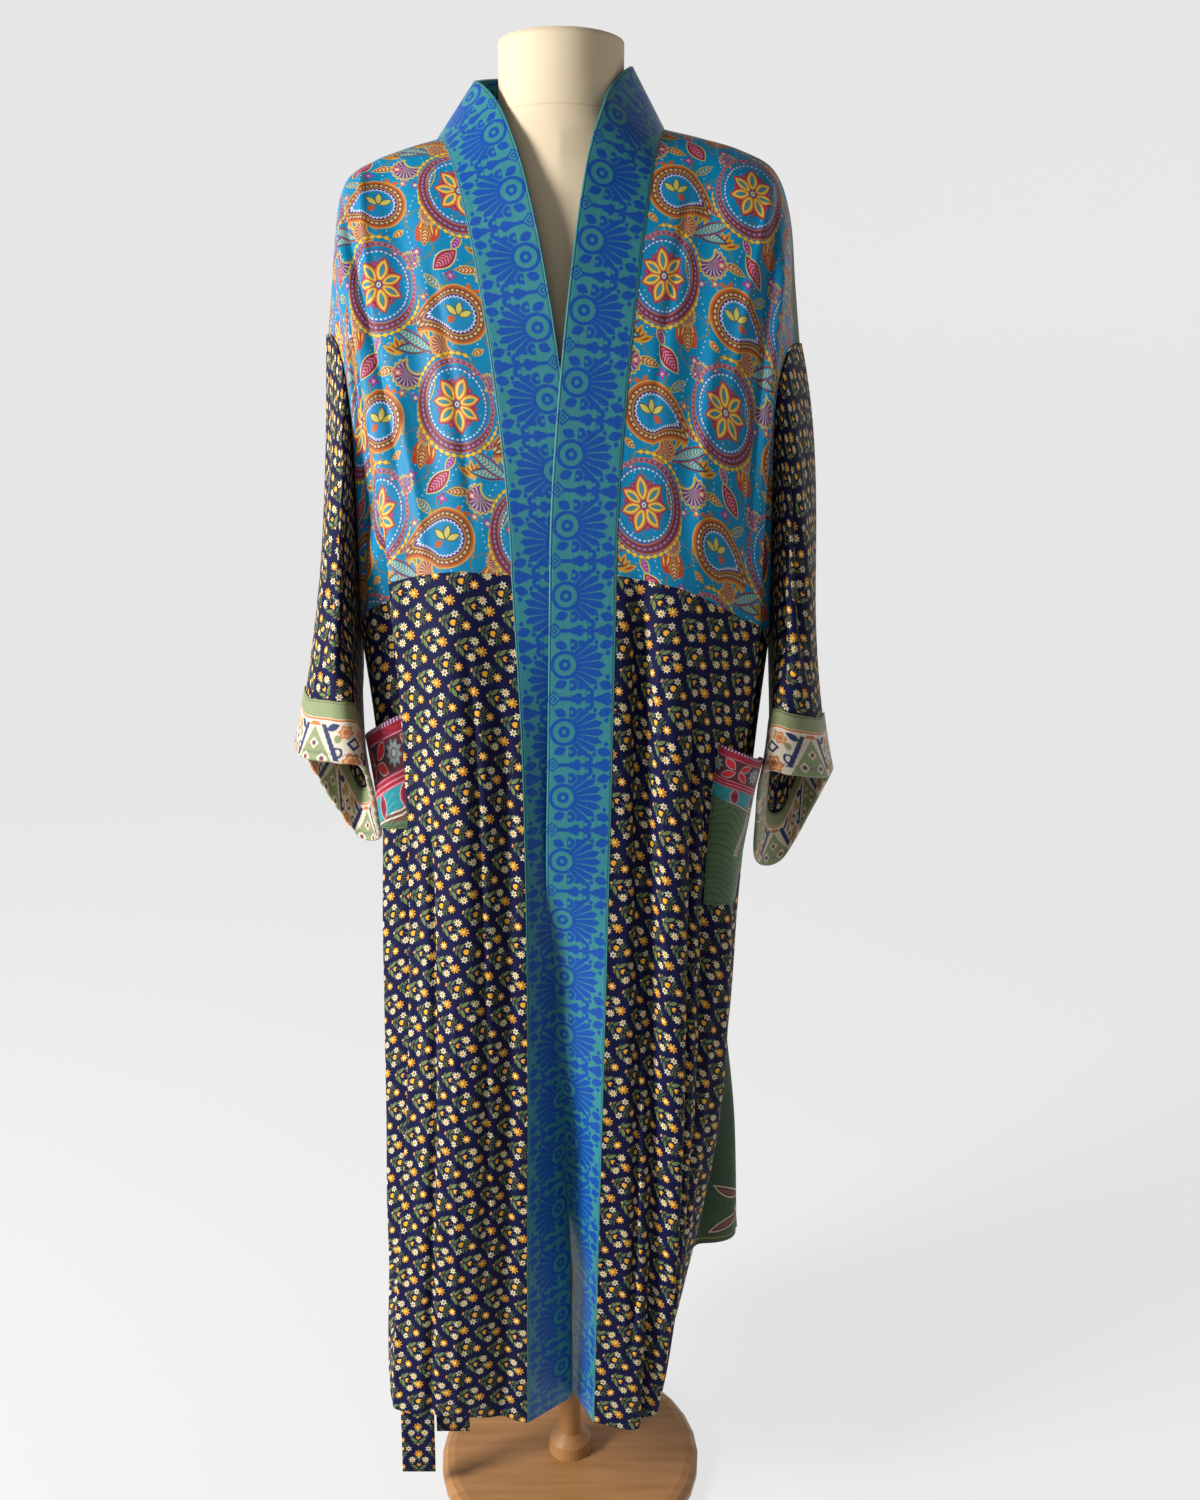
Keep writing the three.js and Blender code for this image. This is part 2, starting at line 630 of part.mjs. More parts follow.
function sleeveFold(angle, t) {
  const degrees = (THREE.MathUtils.radToDeg(angle) + 360) % 360;
  return SLEEVE_FOLDS.reduce((sum, fold) => {
    const inRange = smooth((t - fold.from) / SLEEVE_FADE) * smooth((fold.to - t) / SLEEVE_FADE);
    return sum + fold.depth * bell((degrees - fold.at) / fold.width) * inRange;
  }, 0);
}

function sleeveGrid(side) {
  const ring = armholeRing(side);
  const sign = signOf[side];
  const rows = [];
  const upperRows = DOWN_SLEEVE - CUFF_ROWS;
  for (let k = 0; k <= DOWN_SLEEVE; k += 1) {
    rows.push(
      ring.map((start, j) => {
        const angle = ringAngle(j, ring.length);
        const end = cuffEdgePoint(side, angle);
        const span = start.distanceTo(end);
        const seam = 1 - CUFF_DEPTH / span; // where the cuff begins
        const t = k < upperRows ? (seam * k) / upperRows : lerp(seam, 1, (k - upperRows) / CUFF_ROWS);
        const under = (1 - Math.cos(angle)) / 2; // 1 under the arm, 0 on the shoulder line
        const outward = lerp(SLEEVE_LEAVE[side], UNDERARM_LEAVE, under);
        const leave = vec(sign * outward, -SLEEVE_PUFF * Math.sin(angle), -1);
        const arrive = vec(sign * CUFF_FLARE * Math.cos(angle), 0, -1);
        return hermite(start, leave.multiplyScalar(span), end, arrive.multiplyScalar(span), t);
      }),
    );
  }
  const normals = normalsOf(rows, true);
  return movedOut(rows, normals, (i, j) => -sign * sleeveFold(ringAngle(j, ring.length), i / DOWN_SLEEVE));
}

// A closed sheet for each sleeve, with its normals pointing out.
function sleeveSheet(side) {
  const points = sleeveGrid(side);
  const normals = normalsOf(points, true).map((row) => row.map((n) => n.multiplyScalar(-signOf[side])));
  return { points, normals, closed: true };
}
const sleeveRight = sleeveSheet("right");
const sleeveLeft = sleeveSheet("left");

// Part of a sheet, rows i0 to i1 and columns j0 to j1.
const cutOut = (sheet, i0, i1, j0, j1) => ({
  points: sheet.points.slice(i0, i1 + 1).map((row) => row.slice(j0, j1 + 1)),
  normals: sheet.normals.slice(i0, i1 + 1).map((row) => row.slice(j0, j1 + 1)),
});

// Moves the edge points of a grid towards its inside, so that it ends short of its seams.
function trimmed(points, closed, amount) {
  const rows = points.length;
  const columns = points[0].length;
  const towards = (a, b) => a.clone().addScaledVector(b.clone().sub(a).normalize(), amount);
  const byRow = points.map((row, i) => {
    if (i === 0) return row.map((p, j) => towards(p, points[1][j]));
    if (i === rows - 1) return row.map((p, j) => towards(p, points[rows - 2][j]));
    return row;
  });
  if (closed) return byRow;
  return byRow.map((row) =>
    row.map((p, j) => {
      if (j === 0) return towards(p, row[1]);
      if (j === columns - 1) return towards(p, row[columns - 2]);
      return p;
    }),
  );
}

// A closed wall round a grid: its outer and inner faces and the strips that join their edges.
function wall({ points, normals, closed = false, trim = SEAM_GAP / 2 }, thickness, offset = 0) {
  const mid = trimmed(points, closed, trim);
  const outer = movedOut(mid, normals, offset + thickness / 2);
  const inner = movedOut(mid, normals, offset - thickness / 2);
  const rows = points.length;
  const columns = points[0].length;
  const spans = closed ? columns : columns - 1;
  const position = [...outer, ...inner].flat().flatMap((p) => [p.x, p.y, p.z]);
  const id = (layer, i, j) => layer * rows * columns + i * columns + (j % columns);
  const index = [];
  const quad = (a, b, c, d) => index.push(a, b, c, a, c, d);
  for (let i = 0; i < rows - 1; i += 1)
    for (let j = 0; j < spans; j += 1) {
      quad(id(0, i, j), id(0, i + 1, j), id(0, i + 1, j + 1), id(0, i, j + 1));
      quad(id(1, i, j), id(1, i, j + 1), id(1, i + 1, j + 1), id(1, i + 1, j));
    }
  for (let j = 0; j < spans; j += 1) {
    quad(id(0, 0, j), id(0, 0, j + 1), id(1, 0, j + 1), id(1, 0, j));
    quad(id(0, rows - 1, j + 1), id(0, rows - 1, j), id(1, rows - 1, j), id(1, rows - 1, j + 1));
  }
  const last = columns - 1;
  if (!closed)
    for (let i = 0; i < rows - 1; i += 1) {
      quad(id(0, i + 1, 0), id(0, i, 0), id(1, i, 0), id(1, i + 1, 0));
      quad(id(0, i, last), id(0, i + 1, last), id(1, i + 1, last), id(1, i, last));
    }
  return solid(position, index);
}

// A geometry from points and faces, turned so that its faces point outwards.
function solid(position, index) {
  let volume = 0;
  const at = (k) => vec(position[3 * k], position[3 * k + 1], position[3 * k + 2]);
  for (let k = 0; k < index.length; k += 3)
    volume += at(index[k]).dot(at(index[k + 1]).cross(at(index[k + 2])));
  if (volume < 0)
    for (let k = 0; k < index.length; k += 3) [index[k], index[k + 1]] = [index[k + 1], index[k]];
  return new THREE.BufferGeometry()
    .setAttribute("position", new THREE.Float32BufferAttribute(position, 3))
    .setIndex(index);
}

// ---------- materials ----------
const cloth = (color, roughness = 0.6) => new THREE.MeshStandardMaterial({ color, roughness, metalness: 0 });
const paisley = cloth(0x1583a0, 0.5);
const navyFloral = cloth(0x1d1f4a, 0.6);
const blueBand = cloth(0x1663b8, 0.5);
const greenSari = cloth(0x3f5638, 0.6);
const cuffBorder = cloth(0xb9ad86, 0.65);
const pocketPatch = cloth(0x8e3346, 0.6);
const formCover = cloth(0xe6dac6, 0.8);
const wood = cloth(0xd9a878, 0.55);

const robe = new THREE.Group();
function add(name, geometry, material) {
  const mesh = new THREE.Mesh(geometry, material);
  mesh.name = name;
  robe.add(mesh);
}

// ---------- body panels ----------
add("front_yoke_right", wall(cutOut(frontRight, 0, UPPER, 0, ACROSS_FRONT), CLOTH), paisley);
add("front_yoke_left", wall(cutOut(frontLeft, 0, UPPER, 0, ACROSS_FRONT), CLOTH), paisley);
add("front_skirt_right", wall(cutOut(frontRight, UPPER, TOTAL, 0, ACROSS_FRONT), CLOTH), navyFloral);
add("front_skirt_left", wall(cutOut(frontLeft, UPPER, TOTAL, 0, ACROSS_FRONT), CLOTH), navyFloral);
add("back", wall(backSheet, CLOTH), greenSari);
add("front_band", wall({ ...bandSheet, trim: BAND_TRIM }, BAND_CLOTH), blueBand);

// ---------- sleeves and cuffs ----------
function cuffOf(sheet) {
  const first = sheet.points.length - 1 - CUFF_ROWS;
  return { ...cutOut(sheet, first, sheet.points.length - 1, 0, sheet.points[0].length - 1), closed: true };
}
for (const [side, sheet] of [["right", sleeveRight], ["left", sleeveLeft]]) {
  add(`sleeve_${side}`, wall(sheet, CLOTH), navyFloral);
  add(`cuff_${side}`, wall(cuffOf(sheet), CLOTH, CLOTH + LAYER_GAP), cuffBorder);
}

// ---------- pockets ----------
function pocketOf(side, sheet) {
  const { column0, column1, row0, row1, gape, innerDrop, outerDrop } = POCKETS[side];
  const rows = row1 - row0;
  const columns = column1 - column0;
  // a row needn't be whole: the mouth slants across the rows of the panel
  const sampled = (values) =>
    grid(rows, columns, (i, j, across) => {
      const row = UPPER + row0 + lerp(lerp(innerDrop, outerDrop, across), rows, i / rows);
      const above = Math.min(Math.floor(row), values.length - 2);
      return values[above][column0 + j].clone().lerp(values[above + 1][column0 + j], row - above);
    });
  const normals = sampled(sheet.normals).map((row) => row.map((n) => n.normalize()));
  const standOff = (i, j) => gape * (1 - i / rows) * Math.sin((Math.PI * j) / columns);
  return { points: movedOut(sampled(sheet.points), normals, standOff), normals };
}
add("pocket_right", wall(pocketOf("right", frontRight), CLOTH, CLOTH + LAYER_GAP), pocketPatch);
add("pocket_left", wall(pocketOf("left", frontLeft), CLOTH, CLOTH + LAYER_GAP), pocketPatch);

// ---------- belt and its loop ----------
const beltPoints = BELT.map(({ x, y, z, width }) => [vec(x - width / 2, y, z), vec(x + width / 2, y, z)]);
add("belt", wall({ points: beltPoints, normals: normalsOf(beltPoints) }, CLOTH), navyFloral);

// The loop is a flat strip bent out from the side seam and back to it.
function beltLoop() {
  const { row, depth, height, bar, width } = BELT_LOOP;
  const seat = frontLeft.points[UPPER + row][ACROSS_FRONT];
  const half = height / 2;
  const corners = [[0, -half], [depth, -half], [depth, half], [0, half]];
  const hole = [[0, half - bar], [depth - bar, half - bar], [depth - bar, bar - half], [0, bar - half]];
  const outline = new THREE.Shape([...corners, ...hole].map(([x, y]) => new THREE.Vector2(x, y)));
  const strip = new THREE.ExtrudeGeometry(outline, { depth: width, bevelEnabled: false });
  return strip.rotateX(Math.PI / 2).translate(seat.x + CLOTH / 2 + 2 * LAYER_GAP, width / 2, seat.z);
}
add("belt_loop", beltLoop(), navyFloral);

// ---------- dress form ----------
function formGeometry() {
  const around = AROUND_FORM;
  const position = [];
  const index = [];
  const rings = FORM.length;
  FORM.forEach((ring) => {
    for (let j = 0; j < around; j += 1) {
      const angle = (2 * Math.PI * j) / around;
      const power = 2 / ring.power;
      const x = Math.sign(Math.cos(angle)) * Math.abs(Math.cos(angle)) ** power;
      const y = Math.sign(Math.sin(angle)) * Math.abs(Math.sin(angle)) ** power;
      position.push(ring.half * x, (y < 0 ? ring.front : ring.back) * y, ring.z);
    }
  });
  for (let i = 0; i < rings - 1; i += 1)
    for (let j = 0; j < around; j += 1) {
      const next = (j + 1) % around;
      const [a, b, c, d] = [i * around + j, i * around + next, (i + 1) * around + next, (i + 1) * around + j];
      index.push(a, d, c, a, c, b);
    }
  for (const [ring, turn] of [[0, 1], [rings - 1, -1]]) {
    const centre = position.length / 3;
    position.push(0, 0, FORM[ring].z);
    for (let j = 0; j < around; j += 1) {
      const a = ring * around + j;
      const b = ring * around + ((j + 1) % around);
      index.push(centre, ...(turn > 0 ? [a, b] : [b, a]));
    }
  }
  return solid(position, index);
}
add("form_torso", formGeometry(), formCover);

const TORSO_BOTTOM = FORM[FORM.length - 1].z;
const lathe = (profile) => {
  const outline = profile.map(([r, z]) => new THREE.Vector2(r, z));
  return new THREE.LatheGeometry(outline, AROUND_FORM).rotateX(Math.PI / 2);
};
add(
  "form_pole",
  lathe([
    [0, BASE_THICKNESS + SEAM_GAP],
    ...POLE_FOOT.map(({ radius, rise }) => [radius, BASE_THICKNESS + rise]),
    [POLE_RADIUS, TORSO_BOTTOM - SEAM_GAP],
    [0, TORSO_BOTTOM - SEAM_GAP],
  ]),
  wood,
);
add(
  "form_base",
  lathe([
    [0, 0],
    ...BASE_EDGE.map(({ inset, z }) => [BASE_RADIUS - inset, z]),
    [0, BASE_THICKNESS],
  ]),
  wood,
);

export default robe;
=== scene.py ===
"""Looks of a patchwork kimono robe on a dress form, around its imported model.

The robe's walls are worked out from the same sizes and tables as the solids, on finer grids, and carry
their cut as cloth coordinates in millimetres. The prints, weaves and stitches are drawn by nodes in
those coordinates. Sizes are in millimetres up to mesh_object(), which turns them into metres.
"right" and "left" are the sides at +X and -X.
"""

import functools
import math

import bpy
import numpy as np
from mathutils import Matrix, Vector


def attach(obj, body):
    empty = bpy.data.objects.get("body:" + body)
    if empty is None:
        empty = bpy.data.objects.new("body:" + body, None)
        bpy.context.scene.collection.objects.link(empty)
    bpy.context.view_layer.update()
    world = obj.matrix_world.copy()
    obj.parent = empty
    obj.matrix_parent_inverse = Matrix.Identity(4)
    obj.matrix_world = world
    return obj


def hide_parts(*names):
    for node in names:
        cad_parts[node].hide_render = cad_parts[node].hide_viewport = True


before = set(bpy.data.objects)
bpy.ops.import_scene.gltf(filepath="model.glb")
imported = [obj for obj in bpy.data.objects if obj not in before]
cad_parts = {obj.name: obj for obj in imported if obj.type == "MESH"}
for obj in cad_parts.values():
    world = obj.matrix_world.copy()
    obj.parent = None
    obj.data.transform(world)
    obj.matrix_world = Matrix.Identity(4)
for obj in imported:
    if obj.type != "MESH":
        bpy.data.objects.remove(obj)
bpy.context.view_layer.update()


def rows(columns, *values):
    """A table: one dict for each row, under the named columns."""
    names = columns.split()
    return [dict(zip(names, row)) for row in values]


# ---------- driving sizes ----------
CLOTH = 1.5
BAND_CLOTH = 2.0
BAND_WIDTH = 60
LAYER_GAP = 0.4
SHAVED = 0.3  # how much thinner the cloth is here than the solids' walls
# the coarse counts of the solids, in which the pockets and the sleeves' rings are told
ACROSS_FRONT = 13
ACROSS_NECK = 8
DOWN_YOKE = 10
DOWN_SKIRT = 13
DOWN_SLEEVE = 10
CUFF_ROWS = 2
ACROSS_BAND = 12
CUFF_DEPTH = 58
FINE = 7  # fine steps for each coarse one

# ---------- tables ----------
RIDGE = {
    "right": rows("x z",
        (94, 1448), (130, 1440), (165, 1430), (195, 1413), (211, 1374), (218, 1314), (224, 1262),
    ),
    "left": rows("x z",
        (114, 1440), (143, 1432), (173, 1421), (197, 1405), (209, 1370), (216, 1316), (222, 1270),
    ),
}
SHOULDER_SEAM = dict(right=-0.06, left=0.03)
SEAM_RUN = 0.3
LEAVE = {
    "right": rows("s front back turn turnBack",
        (0, 270, 240, 38, -45),
        (0.55, 260, 300, 20, 0),
        (1, 430, 330, 150, 75),
    ),
    "left": rows("s front back turn turnBack",
        (0, 270, 240, 88, -45),
        (0.55, 260, 300, 20, 0),
        (1, 430, 330, 150, 75),
    ),
}
NAPE = rows("x y z",
    (84, 36, 1452), (50, 66, 1452), (-6, 78, 1451), (-62, 66, 1449), (-98, 36, 1446),
)
COLUMN_FALL = 330
NAPE_LEAVE = dict(back=150, fall=110)
NECK_LEAN = dict(x=0.28, y=0.2, z=0.93, blend=0.6)
SECTIONS = rows("z right left centre",
    (1058,
     ((50, -133, 0), (113, -128, 15), (176, -90, 50), (200, -12, 68), (154, 84, 66)),
     ((44, -132, 0), (104, -132, -2), (158, -104, 14), (200, -12, 68), (154, 84, 66)),
     (104, 60)),
    (905,
     ((47, -138, 0), (110, -131, 8), (166, -94, 26), (189, -6, 34), (142, 90, 32)),
     ((37, -138, 0), (96, -137, 0), (150, -105, 10), (189, -6, 34), (142, 90, 32)),
     (111, 28)),
    (735,
     ((43, -141, 0), (106, -134, 4), (157, -96, 12), (178, -4, 16), (138, 97, 14)),
     ((35, -141, 0), (95, -139, 0), (149, -107, 6), (189, -4, 16), (144, 96, 14)),
     (119, 12)),
    (535,
     ((38, -142, 0), (100, -137, 2), (148, -96, 4), (169, 4, 2), (148, 102, -6)),
     ((36, -142, 0), (98, -141, 0), (157, -111, 0), (190, -6, 2), (150, 102, -6)),
     (128, -6)),
    (350,
     ((33, -142, 0), (93, -139, 0), (128, -94, -4), (137, 34, -20), (182, 108, -32)),
     ((39, -142, 0), (106, -143, 0), (170, -122, 0), (190, -14, -8), (158, 108, -24)),
     (138, -24)),
    (176,
     ((29, -142, 0), (82, -140, 6), (102, -88, -24), (122, 46, -44), (198, 114, -68)),
     ((41, -142, 0), (112, -144, -16), (180, -132, -14), (191, -22, -24), (164, 114, -44)),
     (148, -48)),
)
BAND_LEAN = {
    "right": rows("v x y z",
        (0, -0.5, -0.14, 0.85), (0.15, -0.8, -0.24, 0.54), (0.3, -0.95, -0.15, 0.27),
        (0.45, -0.98, -0.11, 0.15), (0.62, -0.99, -0.08, 0.1), (1, -0.98, -0.05, 0),
        (1.3, -0.97, 0.05, 0), (1.5, -0.8, 0.42, 0), (1.7, -0.6, 0.76, 0), (1.85, -0.4, 0.88, 0),
        (2, -0.42, 0.86, 0),
    ),
    "left": rows("v x y z",
        (0, -0.6, -0.12, 0.79), (0.15, -0.84, -0.16, 0.52), (0.3, -0.95, -0.15, 0.27),
        (0.45, -0.98, -0.08, 0.15), (0.62, -0.99, 0, 0.08), (1, -0.98, 0.07, 0), (1.3, -0.86, 0.4, 0),
        (1.5, -0.7, 0.68, 0), (1.7, -0.62, 0.74, 0), (1.85, -0.72, 0.64, 0), (2, -0.74, 0.62, 0),
    ),
}
# Folds and creases, all placed one by one: share across at the top and at the foot, the height where each
# starts and ends (0 shoulder line, 1 yoke level, 2 hem), width as a share and outward depth.
FOLDS = {
    "right": rows("s0 s1 v0 v1 width depth",
        (0.74, 0.8, 0.2, 1.1, 0.05, -11),
        (0.64, 0.68, 0.15, 1.25, 0.06, 6),
        (0.24, 0.3, 0.1, 0.95, 0.09, -5),
        (0.12, 0.36, 0.95, 2.1, 0.055, -15),
        (0.28, 0.5, 1.05, 2.1, 0.07, 8),
        (0.5, 0.66, 1.1, 2.1, 0.055, -11),
        (0.66, 0.8, 1.3, 2.1, 0.06, 8),
        (0.84, 0.9, 1, 2.1, 0.05, -9),
        # small creases
        (0.5, 0.44, 0.04, 0.62, 0.022, 2.5),
        (0.55, 0.6, 0.12, 0.9, 0.02, -3.5),
        (0.86, 0.83, 0.3, 1.02, 0.026, -4.5),
        (0.34, 0.38, 0.42, 1.0, 0.03, 2.2),
        (0.16, 0.12, 0.2, 0.74, 0.02, -1.8),
        (0.1, 0.2, 1.0, 1.95, 0.022, -9),
        (0.19, 0.31, 1.02, 1.62, 0.018, 4),
        (0.4, 0.5, 1.08, 2.1, 0.02, -9),
        (0.47, 0.58, 1.2, 1.76, 0.014, 2.6),
        (0.58, 0.68, 1.34, 2.1, 0.024, 6.5),
        (0.74, 0.84, 1.05, 1.84, 0.022, -5),
    ),
    "left": rows("s0 s1 v0 v1 width depth",
        (0.74, 0.8, 0.2, 0.9, 0.05, -11),
        (0.64, 0.6, 0.15, 1.2, 0.06, 6),
        (0.3, 0.34, 0.08, 0.9, 0.08, -6),
        (0.32, 0.36, 0.95, 2.1, 0.17, 11),
        (0.73, 0.76, 0.8, 1.95, 0.055, -24),
        (0.85, 0.87, 1, 1.9, 0.04, 3),
        (0.93, 0.93, 1.15, 2.1, 0.03, -8),
        (0.1, 0.12, 1.1, 2.1, 0.05, -7),
        # small creases
        (0.4, 0.5, 0.04, 0.56, 0.022, 2.6),
        (0.57, 0.52, 0.1, 0.84, 0.02, -3.5),
        (0.84, 0.87, 0.28, 1.05, 0.026, -5),
        (0.2, 0.17, 0.36, 0.96, 0.028, -2.4),
        (0.46, 0.43, 0.55, 1.02, 0.024, 2),
        (0.735, 0.752, 0.92, 1.96, 0.024, -14),
        (0.69, 0.706, 0.94, 1.9, 0.02, 6),
        (0.63, 0.65, 1.05, 2.1, 0.026, 4),
        (0.5, 0.46, 1.22, 2.1, 0.022, -7),
        (0.36, 0.33, 1.4, 2.1, 0.016, 2.4),
        (0.24, 0.21, 1.05, 1.88, 0.022, -5.5),
        (0.87, 0.84, 1.3, 2.1, 0.02, 3),
    ),
    "back": rows("s0 s1 v0 v1 width depth",
        (0.2, 0.1, 0.35, 2.1, 0.028, -14),
        (0.27, 0.18, 0.6, 2.1, 0.04, 12),
        (0.34, 0.3, 0.9, 2.1, 0.035, -16),
        (0.42, 0.4, 1, 2.1, 0.04, 12),
        (0.5, 0.5, 0.8, 2.1, 0.035, -15),
        (0.57, 0.6, 1.05, 2.1, 0.04, 12),
        (0.66, 0.7, 0.85, 2.1, 0.035, -16),
        (0.74, 0.8, 0.6, 2.1, 0.04, 11),
        (0.8, 0.9, 0.35, 2.1, 0.028, -14),
        # small creases
        (0.12, 0.16, 0.2, 0.92, 0.012, -3),
        (0.3, 0.26, 0.12, 0.8, 0.016, 3),
        (0.38, 0.4, 0.3, 1.3, 0.012, -3.4),
        (0.47, 0.45, 0.7, 1.9, 0.01, 2.6),
        (0.53, 0.54, 0.2, 1.1, 0.014, -2.4),
        (0.62, 0.66, 0.4, 1.6, 0.012, 3),
        (0.7, 0.74, 0.15, 0.86, 0.014, -3.2),
        (0.86, 0.84, 0.2, 1.0, 0.012, 2.6),
        (0.24, 0.22, 1.1, 2.1, 0.01, -3.4),
        (0.77, 0.83, 1.2, 2.1, 0.01, 3),
    ),
}
CUFF_RIM = {
    "right": rows("at x y z",
        (0, 270, -8, 846), (45, 252, -68, 856), (90, 217, -95, 866), (135, 193, -84, 864),
        (180, 196, -16, 796), (225, 205, 42, 732), (270, 236, 68, 728), (315, 262, 46, 792),
    ),
    "left": rows("at x y z",
        (0, 270, -8, 872), (45, 252, -68, 876), (90, 214, -96, 878), (135, 191, -86, 868),
        (180, 193, -16, 798), (225, 203, 42, 758), (270, 230, 68, 754), (315, 252, 42, 804),
    ),
}
SLEEVE_LEAVE = dict(right=0.26, left=0.04)
UNDERARM_LEAVE = 0.02
SLEEVE_PUFF = 0.3
CUFF_FLARE = 0.25
SLEEVE_FADE = 0.25
SLEEVE_FOLDS = rows("at width depth from to",
    (58, 13, -14, 0.12, 0.72),
    (84, 12, 6, 0.3, 0.8),
    (108, 12, -7, 0.25, 0.75),
    (245, 14, -14, 0.15, 0.76),
    (300, 14, -12, 0.12, 0.72),
    (272, 12, 6, 0.3, 0.8),
    # small creases
    (20, 7, -2.6, 0.08, 0.46),
    (52, 6, 2.4, 0.3, 0.74),
    (84, 6, -3, 0.12, 0.58),
    (112, 7, 2, 0.4, 0.82),
    (-22, 6, 2.2, 0.34, 0.8),
    (318, 6, -2.4, 0.05, 0.4),
    (296, 7, 2.2, 0.26, 0.72),
    (262, 6, -2.8, 0.1, 0.52),
    (238, 6, 1.8, 0.44, 0.84),
)
POCKETS = {
    "right": dict(column0=7, column1=11, row0=2, row1=5, gape=17, innerDrop=0.35, outerDrop=0.7),
    "left": dict(column0=9, column1=12, row0=1, row1=4, gape=13, innerDrop=0.7, outerDrop=1.6),
}
FORM = rows("z half front back power",
    (1520, 57, 57, 57, 2),
    (1488, 57, 57, 57, 2),
    (1464, 59, 57, 58, 2),
    (1448, 70, 57, 59, 1.9),
    (1436, 104, 58, 60, 1.5),
    (1422, 158, 60, 60, 1.3),
    (1405, 184, 63, 61, 1.4),
    (1380, 195, 68, 63, 1.6),
    (1345, 196, 75, 66, 1.8),
    (1305, 188, 84, 70, 1.9),
    (1260, 172, 94, 74, 2.1),
    (1200, 152, 98, 75, 2.2),
    (1140, 136, 90, 72, 2.2),
    (1070, 122, 84, 66, 2.2),
    (1000, 128, 90, 70, 2.2),
    (910, 146, 98, 76, 2.2),
    (830, 150, 98, 78, 2.2),
    (770, 146, 94, 74, 2.2),
    (746, 132, 84, 66, 2.2),
)
BELT = rows("x y z width",
    (-169, -62, 41, 37), (-167, -62, 165, 37), (-158, -58, 260, 37), (-153, -50, 420, 36),
    (-156, -38, 600, 30), (-170, -22, 740, 16), (-179, -11, 806, 10), (-180.6, -7, 834, 9),
    (-180.6, -4.6, 842.2, 9), (-180.6, 0, 844.2, 9), (-180.6, 4.6, 842.2, 9), (-180.6, 7, 834, 9),
    (-179, 10, 806, 10), (-171, 6, 740, 16), (-155, -20, 600, 30), (-140, -38, 420, 36),
    (-132, -50, 260, 37), (-130, -54, 88, 37),
)
BELT_WIDTH = 37
BELT_STEPS = 8
FORM_RINGS, FORM_COLUMNS = 109, 96

# ---------- small maths ----------
SIGN = {"right": 1, "left": -1}


def smooth(t):
    t = np.clip(t, 0, 1)
    return t * t * (3 - 2 * t)


def lerp(a, b, t):
    return a + (b - a) * t


def bell(x):
    return np.exp(-x * x)


def vec(x, y, z):
    return np.stack(np.broadcast_arrays(x, y, z), -1).astype(float)


def table_points(table, *columns):
    return np.array([[row[c] for c in columns] for row in table], float)


def weights(t, count):
    """The share of each of count evenly spaced values in a smooth curve at the places t."""
    t = np.asarray(t, float)
    i = np.clip(np.floor(t), 0, count - 2).astype(int)
    u = t - i
    basis = (
        0.5 * (-u + 2 * u**2 - u**3),
        1 + 0.5 * (3 * u**3 - 5 * u**2),
        0.5 * (u + 4 * u**2 - 3 * u**3),
        0.5 * (u**3 - u**2),
    )
    share = np.zeros(t.shape + (count + 2,))
    for k, value in enumerate(basis):
        np.put_along_axis(share, (i + k)[..., None], value[..., None], -1)
    # the values run on straight past both ends
    share[..., 1] += 2 * share[..., 0]
    share[..., 2] -= share[..., 0]
    share[..., count] += 2 * share[..., count + 1]
    share[..., count - 1] -= share[..., count + 1]
    return share[..., 1:-1]


def splined(points, t):
    return weights(t, len(points)) @ np.asarray(points, float)


def hermite(a, ta, b, tb, t):
    t = np.asarray(t, float)[..., None]
    t2, t3 = t * t, t * t * t
    return a * (2 * t3 - 3 * t2 + 1) + ta * (t3 - 2 * t2 + t) + b * (3 * t2 - 2 * t3) + tb * (t3 - t2)


def look_up(table, key, column, value):
    """Eased look-up in a table whose rows rise in the column key."""
    keys, values = table_points(table, key)[:, 0], table_points(table, column)[:, 0]
    i = np.clip(np.searchsorted(keys, value) - 1, 0, len(keys) - 2)
    share = (value - keys[i]) / (keys[i + 1] - keys[i])
    return lerp(values[i], values[i + 1], smooth(share))


# ---------- the robe's surface ----------
RIGHT_SIDE, LEFT_SIDE, LOOP_END = 3, 7, 10
NECK_AT = 1.33  # loop distance from a side to the neck point on the back panel


def section_loop(section):
    """The eleven points of a level section, from the right band seam round to the left one."""
    sides = {
        side: [(SIGN[side] * x, y, section["z"] - drop) for x, y, drop in section[side]] for side in SIGN
    }
    y, drop = section["centre"]
    return [*sides["right"], (0, y, section["z"] - drop), *reversed(sides["left"])]


LOOPS = np.array([section_loop(section) for section in SECTIONS], float)
RIDGES = {side: table_points(RIDGE[side], "x", "x", "z") * (SIGN[side], 0, 1) for side in SIGN}


def skirt_point(c, w):
    """A point of the skirt: c round the loop, w from 0 at the yoke seam to 1 at the hem."""
    c, w = np.broadcast_arrays(c, w)
    levels, columns, _ = LOOPS.shape
    return np.einsum("...i,...j,ijk->...k", weights(w * (levels - 1), levels), weights(c, columns), LOOPS)


def loop_of_front(side, s):
    return RIGHT_SIDE * s if side == "right" else LOOP_END - RIGHT_SIDE * s


def loop_of_back(side, s):
    return RIGHT_SIDE + NECK_AT * (1 - s) if side == "right" else LEFT_SIDE - NECK_AT * (1 - s)


